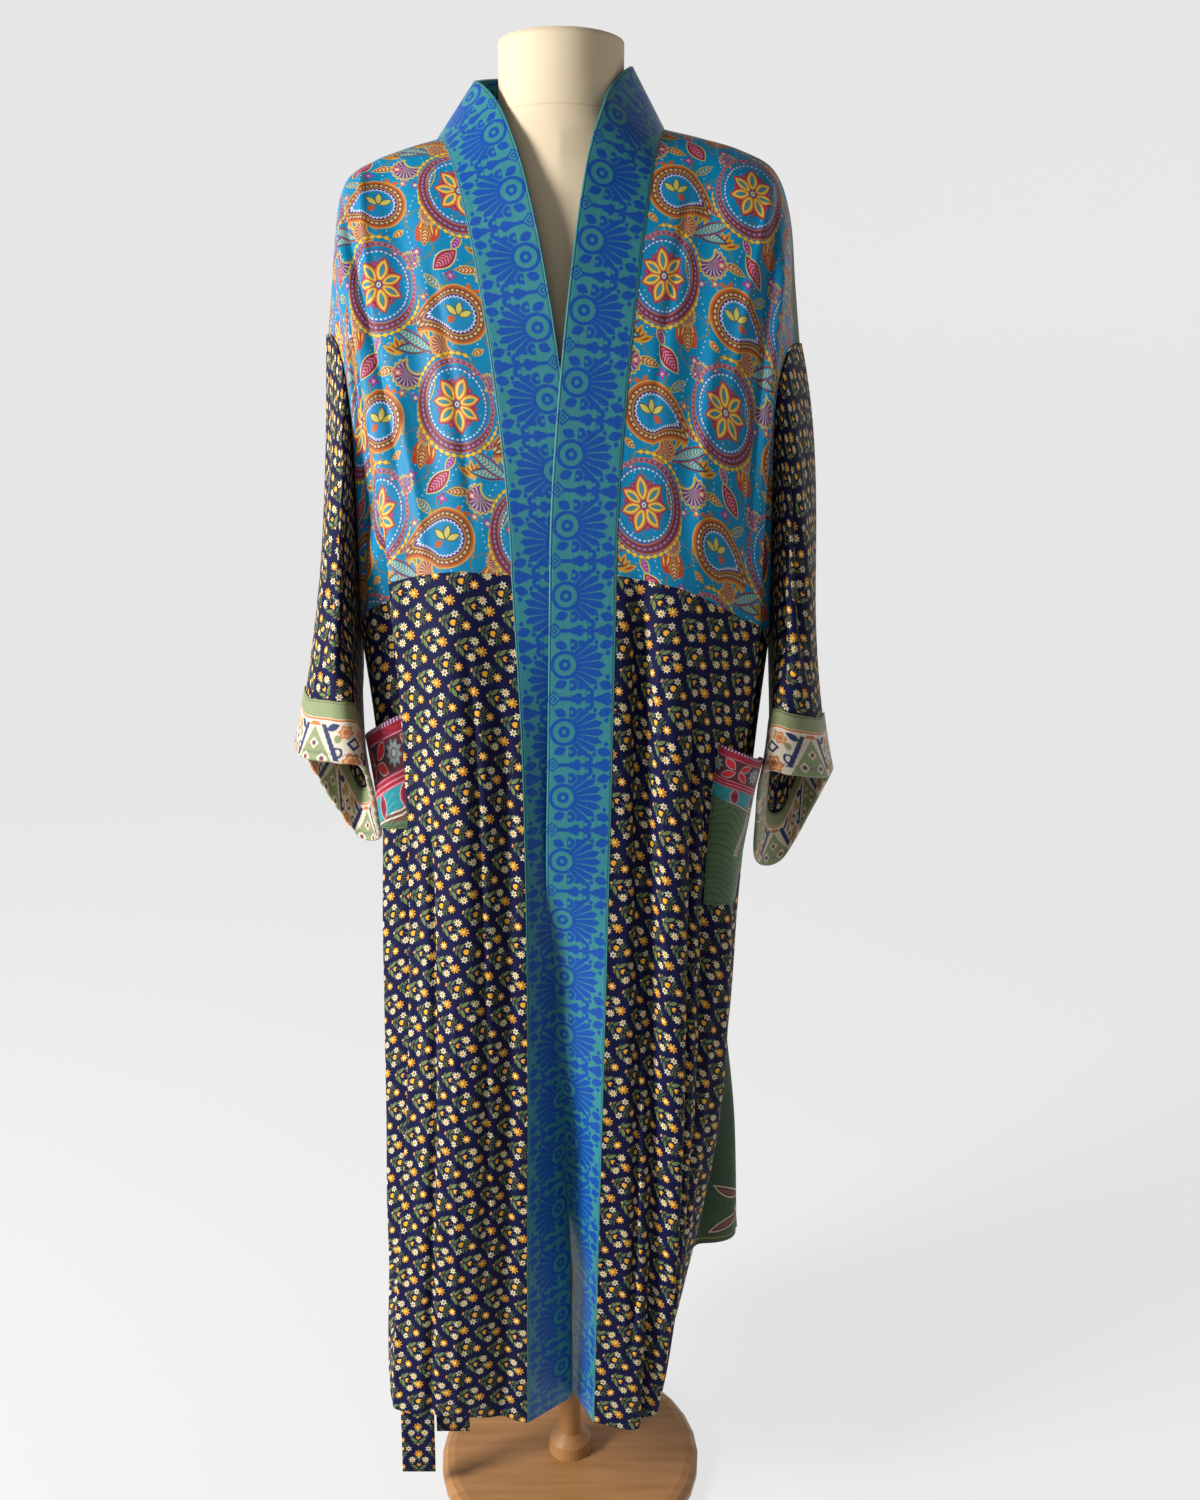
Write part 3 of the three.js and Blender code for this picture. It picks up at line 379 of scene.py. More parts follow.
def over_shoulder(side, s, tau):
    """A column over the shoulder at share s: tau from -1 in front over the shoulder line to 1 behind."""
    s, tau = np.broadcast_arrays(s, tau)
    top = splined(RIDGES[side], s * (len(RIDGE[side]) - 1))
    fall = np.array([0.0, 0.0, -COLUMN_FALL])

    def half(turn, reach, sign, loop):
        inward = -SIGN[side] * look_up(LEAVE[side], "s", turn, s)
        leave = vec(inward, sign * look_up(LEAVE[side], "s", reach, s), 0)
        return hermite(top, leave, skirt_point(loop(side, s), 0), fall, np.abs(tau))

    front = half("turn", "front", -1, loop_of_front)
    behind = half("turnBack", "back", 1, loop_of_back)
    return np.where((tau < 0)[..., None], front, behind)


def seam_share(side, s):
    return SHOULDER_SEAM[side] * smooth(s / SEAM_RUN)


def neckline_point(n):
    ends = [over_shoulder(side, np.array(0.0), np.array(0.0)) for side in ("right", "left")]
    nape = table_points(NAPE, "x", "y", "z")
    return splined([ends[0], *nape, ends[1]], n * (len(nape) + 1))


def under_neck(n, tau):
    middle = np.sin(np.pi * n)
    reach = lerp(LEAVE["right"][0]["back"], NAPE_LEAVE["back"], middle)
    leave = vec(0, reach, -NAPE_LEAVE["fall"] * middle)
    bottom = skirt_point(lerp(RIGHT_SIDE + NECK_AT, LEFT_SIDE - NECK_AT, n), 0)
    return hermite(neckline_point(n), leave, bottom, np.array([0.0, 0.0, -COLUMN_FALL]), tau)


# ---------- folds and grids ----------
FADE = 0.16
EDGE_FADE = 0.07


def fold_depth(folds, s, v):
    """Outward push of the folds at share s and height v (0 shoulder line, 1 yoke level, 2 hem)."""
    total = np.zeros(np.broadcast(s, v).shape)
    for fold in folds:
        where = lerp(fold["s0"], fold["s1"], smooth((v - fold["v0"]) / (fold["v1"] - fold["v0"])))
        in_range = smooth((v - fold["v0"]) / FADE) * smooth((fold["v1"] - v) / FADE)
        total += fold["depth"] * bell((s - where) / fold["width"]) * in_range
    return total * smooth(s / EDGE_FADE) * smooth((1 - s) / EDGE_FADE)


def normals_of(points, closed=False):
    if closed:
        across = np.roll(points, -1, 1) - np.roll(points, 1, 1)
    else:
        across = np.gradient(points, axis=1)
    normal = np.cross(across, np.gradient(points, axis=0))
    return normal / np.linalg.norm(normal, axis=-1, keepdims=True)


def fine_steps(count, edge=0.12):
    """Even places from 0 to 1 with one more close to each end, where a hem or a seam turns."""
    even = np.linspace(0, 1, count + 1)
    return np.sort([*even, edge / count, 1 - edge / count])


UPPER = fine_steps(DOWN_YOKE * FINE)[:, None]
LOWER = fine_steps(DOWN_SKIRT * FINE)[1:, None]


def folded_panel(points, folds, s, outward):
    """A panel with its folds. Rows run from the shoulder seam to the hem; the yoke seam is one of them."""
    height = np.concatenate([UPPER, 1 + LOWER])
    points = points + normals_of(points) * outward * fold_depth(folds, s[None, :], height)[..., None]
    normals = normals_of(points) * outward
    return {"points": points, "normals": normals, "s": s, "v": height[:, 0], "seam_row": len(UPPER) - 1}


def front_points(side):
    s = fine_steps(ACROSS_FRONT * FINE)
    share = s[None, :]
    yoke = over_shoulder(side, share + 0 * UPPER, lerp(seam_share(side, share), -1, UPPER))
    skirt = skirt_point(loop_of_front(side, share), LOWER)
    return folded_panel(np.concatenate([yoke, skirt]), FOLDS[side], s, -SIGN[side])


def back_points():
    """The back panel, from the right side to the left one."""
    s = fine_steps(ACROSS_FRONT * FINE)
    n = np.linspace(0, 1, ACROSS_NECK * FINE + 1)[None, 1:-1]
    yoke, skirt = {}, {}
    for side, share in (("right", s[None, ::-1]), ("left", s[None, :])):
        yoke[side] = over_shoulder(side, share + 0 * UPPER, lerp(seam_share(side, share), 1, UPPER))
        skirt[side] = skirt_point(loop_of_back(side, share), LOWER)
    neck = under_neck(n + 0 * UPPER, UPPER + 0 * n)
    under = skirt_point(lerp(RIGHT_SIDE + NECK_AT, LEFT_SIDE - NECK_AT, n), LOWER)
    points = np.concatenate([
        np.concatenate([yoke["right"], neck, yoke["left"]], 1),
        np.concatenate([skirt["right"], under, skirt["left"]], 1),
    ])
    count = 2 * ACROSS_FRONT + ACROSS_NECK
    place = np.concatenate([
        ACROSS_FRONT * (1 - s[::-1]),
        ACROSS_FRONT + ACROSS_NECK * n[0],
        count - ACROSS_FRONT + ACROSS_FRONT * s,
    ])
    return folded_panel(points, FOLDS["back"], place / count, -1)


def lean_of(side, v):
    lean = vec(*(look_up(BAND_LEAN[side], "v", c, v) for c in "xyz")) * (SIGN[side], 1, 1)
    return lean / np.linalg.norm(lean, axis=-1, keepdims=True)


def band_points(fronts, back):
    """The band from the right hem up round the neck to the left hem; columns run to its free edge."""
    columns = len(fronts["right"]["s"])
    inner = back["points"][0][columns:-columns]
    n = (np.arange(len(inner)) + 1) / (len(inner) + 1)
    blend = (np.sin(np.pi * n) ** NECK_LEAN["blend"])[:, None]
    side_lean = np.where((n < 0.5)[:, None], lean_of("right", 0.0), lean_of("left", 0.0))
    upright = inner * (-NECK_LEAN["x"] / BAND_WIDTH, -NECK_LEAN["y"] / BAND_WIDTH, 0)
    upright[:, 2] = NECK_LEAN["z"]
    neck_lean = lerp(side_lean, upright, blend)
    neck_lean /= np.linalg.norm(neck_lean, axis=-1, keepdims=True)
    right, left = fronts["right"], fronts["left"]
    seam = np.concatenate([right["points"][::-1, 0], inner, left["points"][:, 0]])
    lean = np.concatenate([lean_of("right", right["v"][::-1]), neck_lean, lean_of("left", left["v"])])
    across = fine_steps(ACROSS_BAND, 0.25)[None, :, None] * BAND_WIDTH
    points = seam[:, None] + lean[:, None] * across
    return {"points": points, "normals": -normals_of(points)}


# ---------- sleeves ----------
def cuff_edge_point(side, angle):
    rim = table_points(CUFF_RIM[side], "x", "y", "z") * (SIGN[side], 1, 1)
    place = (angle / (2 * np.pi) % 1) * len(rim)
    return splined(np.concatenate([rim[-2:], rim, rim[:3]]), place + 2)


def sleeve_fold(angle, t):
    degrees = np.degrees(angle) % 360
    total = np.zeros(np.broadcast(angle, t).shape)
    for fold in SLEEVE_FOLDS:
        in_range = smooth((t - fold["from"]) / SLEEVE_FADE) * smooth((fold["to"] - t) / SLEEVE_FADE)
        total += fold["depth"] * bell((degrees - fold["at"]) / fold["width"]) * in_range
    return total


def sleeve_points(side, panel, back):
    """A closed ring of columns from the underarm up the armhole's front edge and down its back edge."""
    lift = CLOTH + LAYER_GAP
    rows_up = panel["seam_row"] + 1
    front_edge = (panel["points"] + panel["normals"] * lift)[:rows_up, -1][::-1]
    column = 0 if side == "right" else -1
    back_edge = (back["points"] + back["normals"] * lift)[1:rows_up - 1, column]
    ring = np.concatenate([front_edge, back_edge])
    # the places of the ring's columns, as shares of the way round
    up = panel["v"][:rows_up]
    turn = np.concatenate([0.5 * (1 - up[::-1]), 0.5 + 0.5 * up[1:-1]])
    angle = (np.pi * (1 - 2 * turn))[None, :]
    t = fine_steps(DOWN_SLEEVE * FINE)[:, None]
    end = cuff_edge_point(side, angle)
    span = np.linalg.norm(end - ring, axis=-1)
    # the cuff is equally deep all round
    cuff_from = 1 - CUFF_ROWS / DOWN_SLEEVE
    seam = 1 - CUFF_DEPTH / span
    run = np.where(t < cuff_from, seam * t / cuff_from, lerp(seam, 1, (t - cuff_from) / (1 - cuff_from)))
    under = (1 - np.cos(angle)) / 2
    sign = SIGN[side]
    outward = sign * lerp(SLEEVE_LEAVE[side], UNDERARM_LEAVE, under)
    leave = vec(outward, -SLEEVE_PUFF * np.sin(angle), -1) * span[..., None]
    arrive = vec(sign * CUFF_FLARE * np.cos(angle), 0, -1) * span[..., None]
    points = hermite(ring[None], leave, end, arrive, run)
    normals = -sign * normals_of(points, True)
    points = points + normals * sleeve_fold(angle, t)[..., None]
    return {"points": points, "normals": -sign * normals_of(points, True), "t": t[:, 0], "turn": turn}


# ---------- cloth coordinates and meshes ----------
def run_along(points, axis):
    """Distance along a grid from its first row or column."""
    step = np.linalg.norm(np.diff(points, axis=axis), axis=-1)
    start = np.zeros_like(np.take(step, [0], axis))
    return np.concatenate([start, np.cumsum(step, axis=axis)], axis)


def mesh_object(name, points, faces, material, uv=None, edges=None):
    """A smooth mesh. uv holds a pair for each face corner, edges a vector for each vertex."""
    mesh = bpy.data.meshes.new(name)
    mesh.from_pydata((np.asarray(points) / 1000).tolist(), [], faces)
    layer = mesh.uv_layers.new(name="cut", do_init=False)
    if uv is not None:
        layer.data.foreach_set("uv", np.asarray(uv, np.float32).ravel())
    mesh.polygons.foreach_set("use_smooth", [True] * len(faces))
    if edges is not None:
        attribute = mesh.attributes.new("edges", "FLOAT_VECTOR", "POINT")
        attribute.data.foreach_set("vector", np.asarray(edges, np.float32).ravel())
    mesh.materials.append(material)
    mesh.update()
    piece = bpy.data.objects.new(name, mesh)
    bpy.context.scene.collection.objects.link(piece)
    return piece


def quads(ids, backward=False):
    """The faces of a grid of numbers, row by row."""
    corners = [ids[:-1, :-1], ids[1:, :-1], ids[1:, 1:], ids[:-1, 1:]]
    if backward:
        corners = [corners[0], *reversed(corners[1:])]
    return np.stack(corners, -1).reshape(-1, 4)


def shell(name, points, normals, cut, material, thickness=CLOTH - SHAVED, offset=0.0, closed=False):
    """A thin closed wall round a grid. cut is the grid's cloth coordinates, one column more if closed.

    The attribute edges holds each vertex's distances to the side edges, the first row and the last row."""
    outer = points + normals * (offset + thickness / 2)
    inner = points + normals * (offset - thickness / 2)
    lines, columns = points.shape[:2]
    spans = columns if closed else columns - 1
    grid = np.arange(lines * columns).reshape(lines, columns)
    wrapped = np.concatenate([grid, grid[:, :1]], 1) if closed else grid
    cut_id = np.arange(lines * (spans + 1)).reshape(lines, spans + 1)
    under = lines * columns
    faces = [quads(wrapped), quads(wrapped, True) + under]
    corners = [quads(cut_id), quads(cut_id, True)]

    def strip(line, cut_line, turn):
        order = -1 if turn else 1
        a, b = line[:-1], line[1:]
        faces.append(np.stack([a, b, b + under, a + under][::order], -1))
        corners.append(np.stack([cut_line[:-1], cut_line[1:], cut_line[1:], cut_line[:-1]][::order], -1))

    strip(wrapped[0], cut_id[0], False)
    strip(wrapped[-1], cut_id[-1], True)
    if not closed:
        strip(wrapped[:, 0], cut_id[:, 0], True)
        strip(wrapped[:, -1], cut_id[:, -1], False)
    across, down = run_along(points, 1), run_along(points, 0)
    side_edge = np.full(across.shape, 1e3) if closed else np.minimum(across, across[:, -1:] - across)
    edges = np.stack([side_edge, down, down[-1:] - down], -1).reshape(-1, 3)
    vertices = np.concatenate([outer.reshape(-1, 3), inner.reshape(-1, 3)])
    uv = cut.reshape(-1, 2)[np.concatenate(corners).ravel()]
    piece = mesh_object(
        name, vertices, np.concatenate(faces).tolist(), material, uv, np.concatenate([edges, edges])
    )
    middle_face = piece.data.polygons[(lines // 2) * spans + columns // 2]
    if np.dot(normals[lines // 2, columns // 2], middle_face.normal) < 0:
        piece.data.flip_normals()
    return piece


# ---------- drawing with nodes ----------
class Num:
    """A number that varies over a surface. Arithmetic with it adds Math nodes."""

    def __init__(self, pen, socket):
        self.pen, self.socket = pen, socket

    def __add__(self, other):
        return self.pen.math("ADD", self, other)

    def __sub__(self, other):
        return self.pen.math("SUBTRACT", self, other)

    def __rsub__(self, other):
        return self.pen.math("SUBTRACT", other, self)

    def __mul__(self, other):
        return self.pen.math("MULTIPLY", self, other)

    def __truediv__(self, other):
        return self.pen.math("DIVIDE", self, other)

    def __neg__(self):
        return self * -1.0


def ink(code):
    """A linear colour from a six-digit hex code."""
    channels = (int(code[i : i + 2], 16) / 255 for i in (0, 2, 4))
    return tuple(c / 12.92 if c <= 0.04045 else ((c + 0.055) / 1.055) ** 2.4 for c in channels) + (1.0,)


class Pen:
    """Draws a print in a node tree, layer on layer over a ground colour."""

    def __init__(self, tree, ground):
        self.tree = tree
        self.color = ink(ground)

    def put(self, value, socket):
        if isinstance(value, Num):
            value = value.socket
        if isinstance(value, bpy.types.NodeSocket):
            self.tree.links.new(value, socket)
        else:
            socket.default_value = value

    def split(self, vector):
        node = self.tree.nodes.new("ShaderNodeSeparateXYZ")
        self.put(vector, node.inputs[0])
        return [Num(self, socket) for socket in node.outputs]

    def join(self, x, y, z=0.0):
        node = self.tree.nodes.new("ShaderNodeCombineXYZ")
        for value, socket in zip((x, y, z), node.inputs):
            self.put(value, socket)
        return node.outputs[0]

    def math(self, operation, *values, clamp=False):
        node = self.tree.nodes.new("ShaderNodeMath")
        node.operation = operation
        node.use_clamp = clamp
        for value, socket in zip(values, node.inputs):
            self.put(value, socket)
        return Num(self, node.outputs[0])

    def line(self, x, slope, start, clamp=False):
        """x * slope + start."""
        return self.math("MULTIPLY_ADD", x, slope, start, clamp=clamp)

    def sin(self, angle):
        return self.math("SINE", angle)

    def cos(self, angle):
        return self.math("COSINE", angle)

    def wave(self, x, pitch):
        return self.sin(x * (2 * math.pi / pitch))

    def bearing(self, x, y):
        return self.math("ARCTAN2", y, x)

    def wrap(self, x, pitch):
        """The place of x around the nearest multiple of pitch."""
        return self.math("WRAP", x, pitch / 2, -pitch / 2)

    def least(self, *values):
        return functools.reduce(lambda a, b: self.math("MINIMUM", a, b), values)

    def most(self, *values):
        return functools.reduce(lambda a, b: self.math("MAXIMUM", a, b), values)

    def size(self, value):
        return self.math("ABSOLUTE", value)

    def far(self, x, y):
        """Distance from the origin."""
        return self.math("SQRT", self.line(x, x, y * y))

    def turned(self, x, y, degrees):
        c, s = math.cos(math.radians(degrees)), math.sin(math.radians(degrees))
        return self.line(y, s, x * c), self.line(y, c, x * -s)

    def repeat(self, x, y, width, height, drop=0.0):
        """Places around the nearest point of a lattice whose columns each hang lower by drop."""
        if not drop:
            return self.wrap(x, width), self.wrap(y, height)
        column = self.math("ROUND", x * (1 / width))
        local_x = self.line(column, -width, x)
        local_y = self.line(column, -drop, y)
        return local_x, self.wrap(local_y, height)

    def cover(self, distance, soft=0.3):
        """1 where distance is less than 0, with a soft rim."""
        return self.line(distance, -0.5 / soft, 0.5, clamp=True)

    def mix(self, first, second, share):
        node = self.tree.nodes.new("ShaderNodeMix")
        node.data_type = "RGBA"
        self.put(share, node.inputs[0])
        self.put(first, node.inputs[6])
        self.put(second, node.inputs[7])
        return node.outputs[2]

    def paint(self, color, mask):
        self.color = self.mix(self.color, ink(color) if isinstance(color, str) else color, mask)

    def fill(self, color, distance, soft=0.3):
        self.paint(color, self.cover(distance, soft))

    def nest(self, distance, *layers, soft=0.3):
        """Fills one inside another: how far each reaches past distance 0, and its colour."""
        for reach, color in layers:
            self.fill(color, distance - reach, soft)

    def noise(self, scale, detail=2.0, stretch=(1, 1, 1), at=None):
        """Noise from 0 to 1 over the cloth, with the given number of lumps for each millimetre."""
        node = self.tree.nodes.new("ShaderNodeTexNoise")
        place = at or self.join(self.u * stretch[0], self.v * stretch[1])
        self.put(place, node.inputs["Vector"])
        node.inputs["Scale"].default_value = scale
        node.inputs["Detail"].default_value = detail
        return Num(self, node.outputs["Fac"])


class Cloth(Pen):
    """The pen of one material, with the cloth's coordinates, its edges and a bump."""

    def __init__(self, name, ground, roughness, sheen=0.0):
        self.material = bpy.data.materials.new(name)
        self.material.use_nodes = True
        super().__init__(self.material.node_tree, ground)
        self.shader = self.tree.nodes["Principled BSDF"]
        self.shader.inputs["Roughness"].default_value = roughness
        self.shader.inputs["Sheen Weight"].default_value = sheen
        self.shader.inputs["Specular IOR Level"].default_value = 0.3
        self.height = None
        cut = self.tree.nodes.new("ShaderNodeUVMap")
        cut.uv_map = "cut"
        self.u, self.v = self.split(cut.outputs["UV"])[:2]
        edges = self.tree.nodes.new("ShaderNodeAttribute")
        edges.attribute_name = "edges"
        self.from_side, self.from_top, self.from_foot = self.split(edges.outputs["Vector"])

    def use(self, group, x, y):
        """Takes the colour of a shared print at a place."""
        node = self.tree.nodes.new("ShaderNodeGroup")
        node.node_tree = group
        self.put(x, node.inputs[0])
        self.put(y, node.inputs[1])
        self.color = node.outputs[0]

    def raise_by(self, height):
        """Adds height, in millimetres, to the surface's bump."""
        self.height = height if self.height is None else self.height + height

    def finish(self):
        self.put(self.color, self.shader.inputs["Base Color"])
        if self.height is not None:
            bump = self.tree.nodes.new("ShaderNodeBump")
            bump.inputs["Distance"].default_value = 0.001
            self.put(self.height, bump.inputs["Height"])
            self.put(bump.outputs[0], self.shader.inputs["Normal"])
        return self.material


def shared_print(name, ground, draw):
    """A node group that gives a print's colour at x and y, in millimetres of cloth."""
    tree = bpy.data.node_groups.new(name, "ShaderNodeTree")
    for axis in "xy":
        tree.interface.new_socket(axis, in_out="INPUT", socket_type="NodeSocketFloat")
    tree.interface.new_socket("color", in_out="OUTPUT", socket_type="NodeSocketColor")
    pen = Pen(tree, ground)
    place = tree.nodes.new("NodeGroupInput")
    pen.u, pen.v = Num(pen, place.outputs[0]), Num(pen, place.outputs[1])
    draw(pen)
    tree.links.new(pen.color, tree.nodes.new("NodeGroupOutput").inputs[0])
    return tree


# ---------- motifs: distances in millimetres, less than 0 inside ----------
def disc(pen, x, y, radius):
    return pen.far(x, y) - radius


def leaf(pen, x, y, turn, length, half_width):
    """A pointed leaf around its own middle."""
    along, across = pen.turned(x, y, turn)
    bow = pen.line(along * along, half_width * (2 / length) ** 2, -half_width)
    return bow + pen.size(across)


def leaves(pen, x, y, *table):
    """The leaves of a table, whose rows hold place, turn, length and half width."""
    for at_x, at_y, turn, length, half_width in table:
        yield leaf(pen, x - at_x, y - at_y, turn, length, half_width)


def petals(pen, x, y, radius, count, notch, turn=0.0):
    """A flower outline with round petals; notch is the share that the outline goes in between them."""
    angle = pen.line(pen.bearing(x, y), float(count), turn)
    wave = pen.cos(angle)
    return pen.line(wave, -radius * notch, pen.far(x, y) - radius * (1 - notch))


def ring(pen, distance_from_centre, inner, outer):
    middle, half = (inner + outer) / 2, (outer - inner) / 2
    return pen.size(distance_from_centre - middle) - half


def weave(pen, depth=0.02, threads=2.6):
    """Fine crossed threads, with slubs, and a little wear in the colour."""
    across, down = pen.wave(pen.u, 1 / threads), pen.wave(pen.v, 1 / threads)
    slub = pen.noise(0.5, 3.0, (1, 0.12, 1))
    pen.raise_by((across * down) * depth + slub * 0.06)
    pen.color = pen.mix(pen.color, ink("000000"), pen.line(slub, 0.34, 0.02))


def stitches(pen, distance, color="14182E", pitch=3.2, along=None):
    """A row of machine stitches where distance is 0, sunk a little into the cloth."""
    line = pen.size(distance)
    dash = pen.wave(pen.v if along is None else along, pitch)
    pen.paint(color, pen.cover(line - 0.3, 0.15) * pen.cover(-dash - 0.75))
    pen.raise_by(pen.cover(line - 0.5, 0.5) * -0.25)


# ---------- the navy floral ----------
NAVY = "0A0D3A"
FLORAL_CELL = (36.0, 37.8)
# Each sprig lies along x from its root. "mirror" parts stand on both sides of the stem.
SPRIG_LONG_LEAVES = rows("shape x y turn size width color",
    ("leaf", 12, 0, 0, 18, 0.4, "6E7A4C"),
    ("disc", 0.6, 0, 0, 1.2, 0, "E2B070"),
    ("leaf", 2.2, 3.0, 75, 6.4, 0.9, "66733F"),
    ("leaf", 6.4, 4.8, 52, 9.6, 1.6, "7C8C4E"),
    ("leaf", 6.6, 5.0, 52, 6.4, 0.45, "4A5C36"),
    ("leaf", 11.8, 8.0, 72, 5.4, 1.0, "727F4A"),
    ("leaf", 18.0, 3.2, 75, 6.0, 0.5, "5D6E40"),
    ("disc", 10.0, 0, 0, 2.3, 0, "F0A628"),
    ("disc", 11.9, 0, 0, 1.5, 0, NAVY),
    ("daisy", 16.2, 7.4, 0, 4.3, 8, "EADFBC"),
    ("disc", 16.2, 7.4, 0, 1.5, 0, "D89A2E"),
    ("disc", 19.9, 0, 0, 1.7, 0, "B4B470"),
    ("daisy", 24.2, 0, 0, 5.2, 8, "F0A628"),
    ("daisy", 24.6, 0, 0, 3.2, 8, "B06E18"),
    ("daisy", 23.6, 0, 0, 2.2, 5, "F4C860"),
)
SPRIG_SMALL_LEAVES = rows("shape x y turn size width color",
    ("leaf", 12, 0, 0, 22, 0.4, "56643C"),
    ("disc", 0.4, 0.9, 0, 0.9, 0, "E0A060"),
    ("leaf", 3.4, 2.8, 68, 5.6, 1.0, "606E42"),
    ("leaf", 7.4, 4.3, 62, 7.4, 1.4, "606E42"),
    ("leaf", 7.4, 4.3, 62, 5.0, 0.4, "4A5C36"),
    ("leaf", 17.0, 5.2, 80, 8.4, 0.9, "4C5A36"),
    ("leaf", 19.6, 4.4, 68, 7.4, 0.9, "445234"),
    ("disc", 12.4, 0, 0, 2.2, 0, "F2AE2E"),
    ("leaf", 12.6, 1.6, 10, 5.0, 1.0, "F2AE2E"),
    ("daisy", 12.8, 7.8, 0, 3.8, 6, "E6DAB6"),
    ("disc", 12.8, 7.8, 0, 1.2, 0, "8A6A34"),
    ("daisy", 24.4, 0, 0, 4.5, 8, "F0AC30"),
    ("disc", 24.4, 0, 0, 1.3, 0, "F8E4A8"),
)


def sprig(pen, u, v, parts, at):
    for part in parts:
        x, y = pen.repeat(u - (at[0] + part["x"]), v - at[1], *FLORAL_CELL)
        if part["y"]:
            y = pen.size(y) - part["y"]
        if part["shape"] == "leaf":
            distance = leaf(pen, x, y, part["turn"], part["size"], part["width"])
        elif part["shape"] == "disc":
            distance = disc(pen, x, y, part["size"])
        else:
            distance = petals(pen, x, y, part["size"] * 0.93, part["width"], 0.24)
        pen.fill(part["color"], distance)


def draw_floral(pen):
    sprig(pen, pen.u, pen.v, SPRIG_LONG_LEAVES, (0.0, 0.0))
    sprig(pen, pen.u, pen.v, SPRIG_SMALL_LEAVES, (FLORAL_CELL[0] / 2, FLORAL_CELL[1] / 2))


FLORAL = shared_print("floral", NAVY, draw_floral)


def navy_floral(name, turn):
    """The navy cloth; turn is the way that its sprigs point, in degrees from across."""
    pen = Cloth(name, NAVY, 0.7)
    pen.shader.inputs["Specular IOR Level"].default_value = 0.15
    pen.use(FLORAL, *pen.turned(pen.u, pen.v, turn))
    weave(pen)
    return pen.finish()


# ---------- the blue and teal band ----------
BAND_BLUE, BAND_TEAL = "044AA0", "348488"
BLUE_SPREAD = 0.75  # mm that the blue print runs out past its outlines
EYE_AT, EYE_REPEAT = 15.0, 62.0


def blue_band():
    pen = Cloth("blue_band", BAND_TEAL, 0.4, sheen=0.03)
    wobble = (pen.noise(0.35, 1.0) - 0.5) * 1.6
    u = pen.u + wobble
    x, y = u - EYE_AT, pen.wrap(pen.v + wobble, EYE_REPEAT)
    r, angle = pen.far(x, y), pen.bearing(x, y)

    # the fan of rays, from the eye to the outer seam
    spacing = math.radians(15.5)
    ray = pen.math("ROUND", angle * (1 / spacing))
    off = pen.sin(pen.line(ray, -spacing, angle)) * r
    reach = pen.line(pen.cos(angle), 15.5, 21.0)
    body = pen.line(r, 0.106, 0.2)
    tip = pen.cover(r - (reach - 2.2), 2.4)
    rays = pen.size(off) - body * tip
    rays = pen.most(rays, pen.size(angle) - math.radians(86), 11.0 - r)
    pen.fill(BAND_BLUE, rays)

    # hearts on a stem, hooks and beans around the middle line between two eyes
    mid = pen.size(pen.wrap(pen.v + wobble + EYE_REPEAT / 2, EYE_REPEAT))
    hollow = pen.cover(mid - 19.0, 1.0)
    behind = pen.cover(pen.size(angle) * -1.0 + math.radians(58), 0.05)
    pen.paint(BAND_TEAL, behind * hollow * pen.cover(13.0 - r))
    pen.fill(BAND_BLUE, pen.most(mid - 1.0, pen.size(u - 33.0) - 22.0) - BLUE_SPREAD)
    for at, size in ((53.5, 4.4), (27.5, 3.6)):
        lobes = disc(pen, u - at, mid - size * 0.55, size * 0.72)
        point = leaf(pen, u - (at - size * 0.9), mid, 0, size * 3.2, size * 0.75)
        pen.fill(BAND_BLUE, pen.least(lobes, point) - BLUE_SPREAD)
    for at_x, at_y, radius in ((36.5, 5.6, 3.7), (21.5, 12.5, 3.4)):
        hook = ring(pen, pen.far(u - at_x, mid - at_y), radius - 1.2, radius + 1.0)
        pen.fill(BAND_BLUE, pen.most(hook, (at_x - 1.2) - u) - BLUE_SPREAD)
    for bean in leaves(
        pen, u, mid,
        (11.5, 13.2, 25, 11.0, 3.4),
        (52.0, 12.4, -20, 12.0, 3.6),
        (43.0, 10.4, 0, 3.4, 1.6),
        (53.5, 20.0, 0, 3.6, 1.7),
        (30.5, 11.8, 40, 8.0, 2.0),
    ):
        pen.fill(BAND_BLUE, bean - BLUE_SPREAD)

    # the eye, and the small diamond near the free edge
    pen.nest(r, (13.2, BAND_BLUE), (9.9, BAND_TEAL), (5.4, BAND_BLUE), (2.0, BAND_TEAL))
    diamond = pen.size(u - 5.0) + mid
    pen.nest(diamond, (7.4, BAND_BLUE), (5.2, BAND_TEAL), (3.4, BAND_BLUE), (1.5, BAND_TEAL))

    pen.color = pen.mix(pen.color, ink("0A2F7A"), pen.noise(0.02, 2.0) * 0.12)
    weave(pen, 0.015)
    for side in (2.2, BAND_WIDTH - 1.6):
        stitches(pen, pen.u - side, "0A1030")
    return pen.finish()


# ---------- the turquoise paisley ----------
TURQUOISE = "0080AC"
PAISLEY_WIDTH, PAISLEY_HEIGHT = 144.0, 198.0
OCHRE, MAROON, ORANGE, CRIMSON, MAGENTA = "C29A3A", "6E3544", "B85A2C", "9A2148", "8C3480"
CREAM, VIOLET, OLIVE, SKY, BROWN = "E0D2A4", "55407E", "85852F", "2A8CBC", "7A4422"


def around(pen, x, y, turn=0.0):
    """Places around a point that comes back in every column, half a repeat lower in each."""
    near, near_y = pen.repeat(pen.u - x, pen.v - y, PAISLEY_WIDTH / 2, PAISLEY_HEIGHT, PAISLEY_HEIGHT / 2)
    return pen.turned(near, near_y, turn) if turn else (near, near_y)


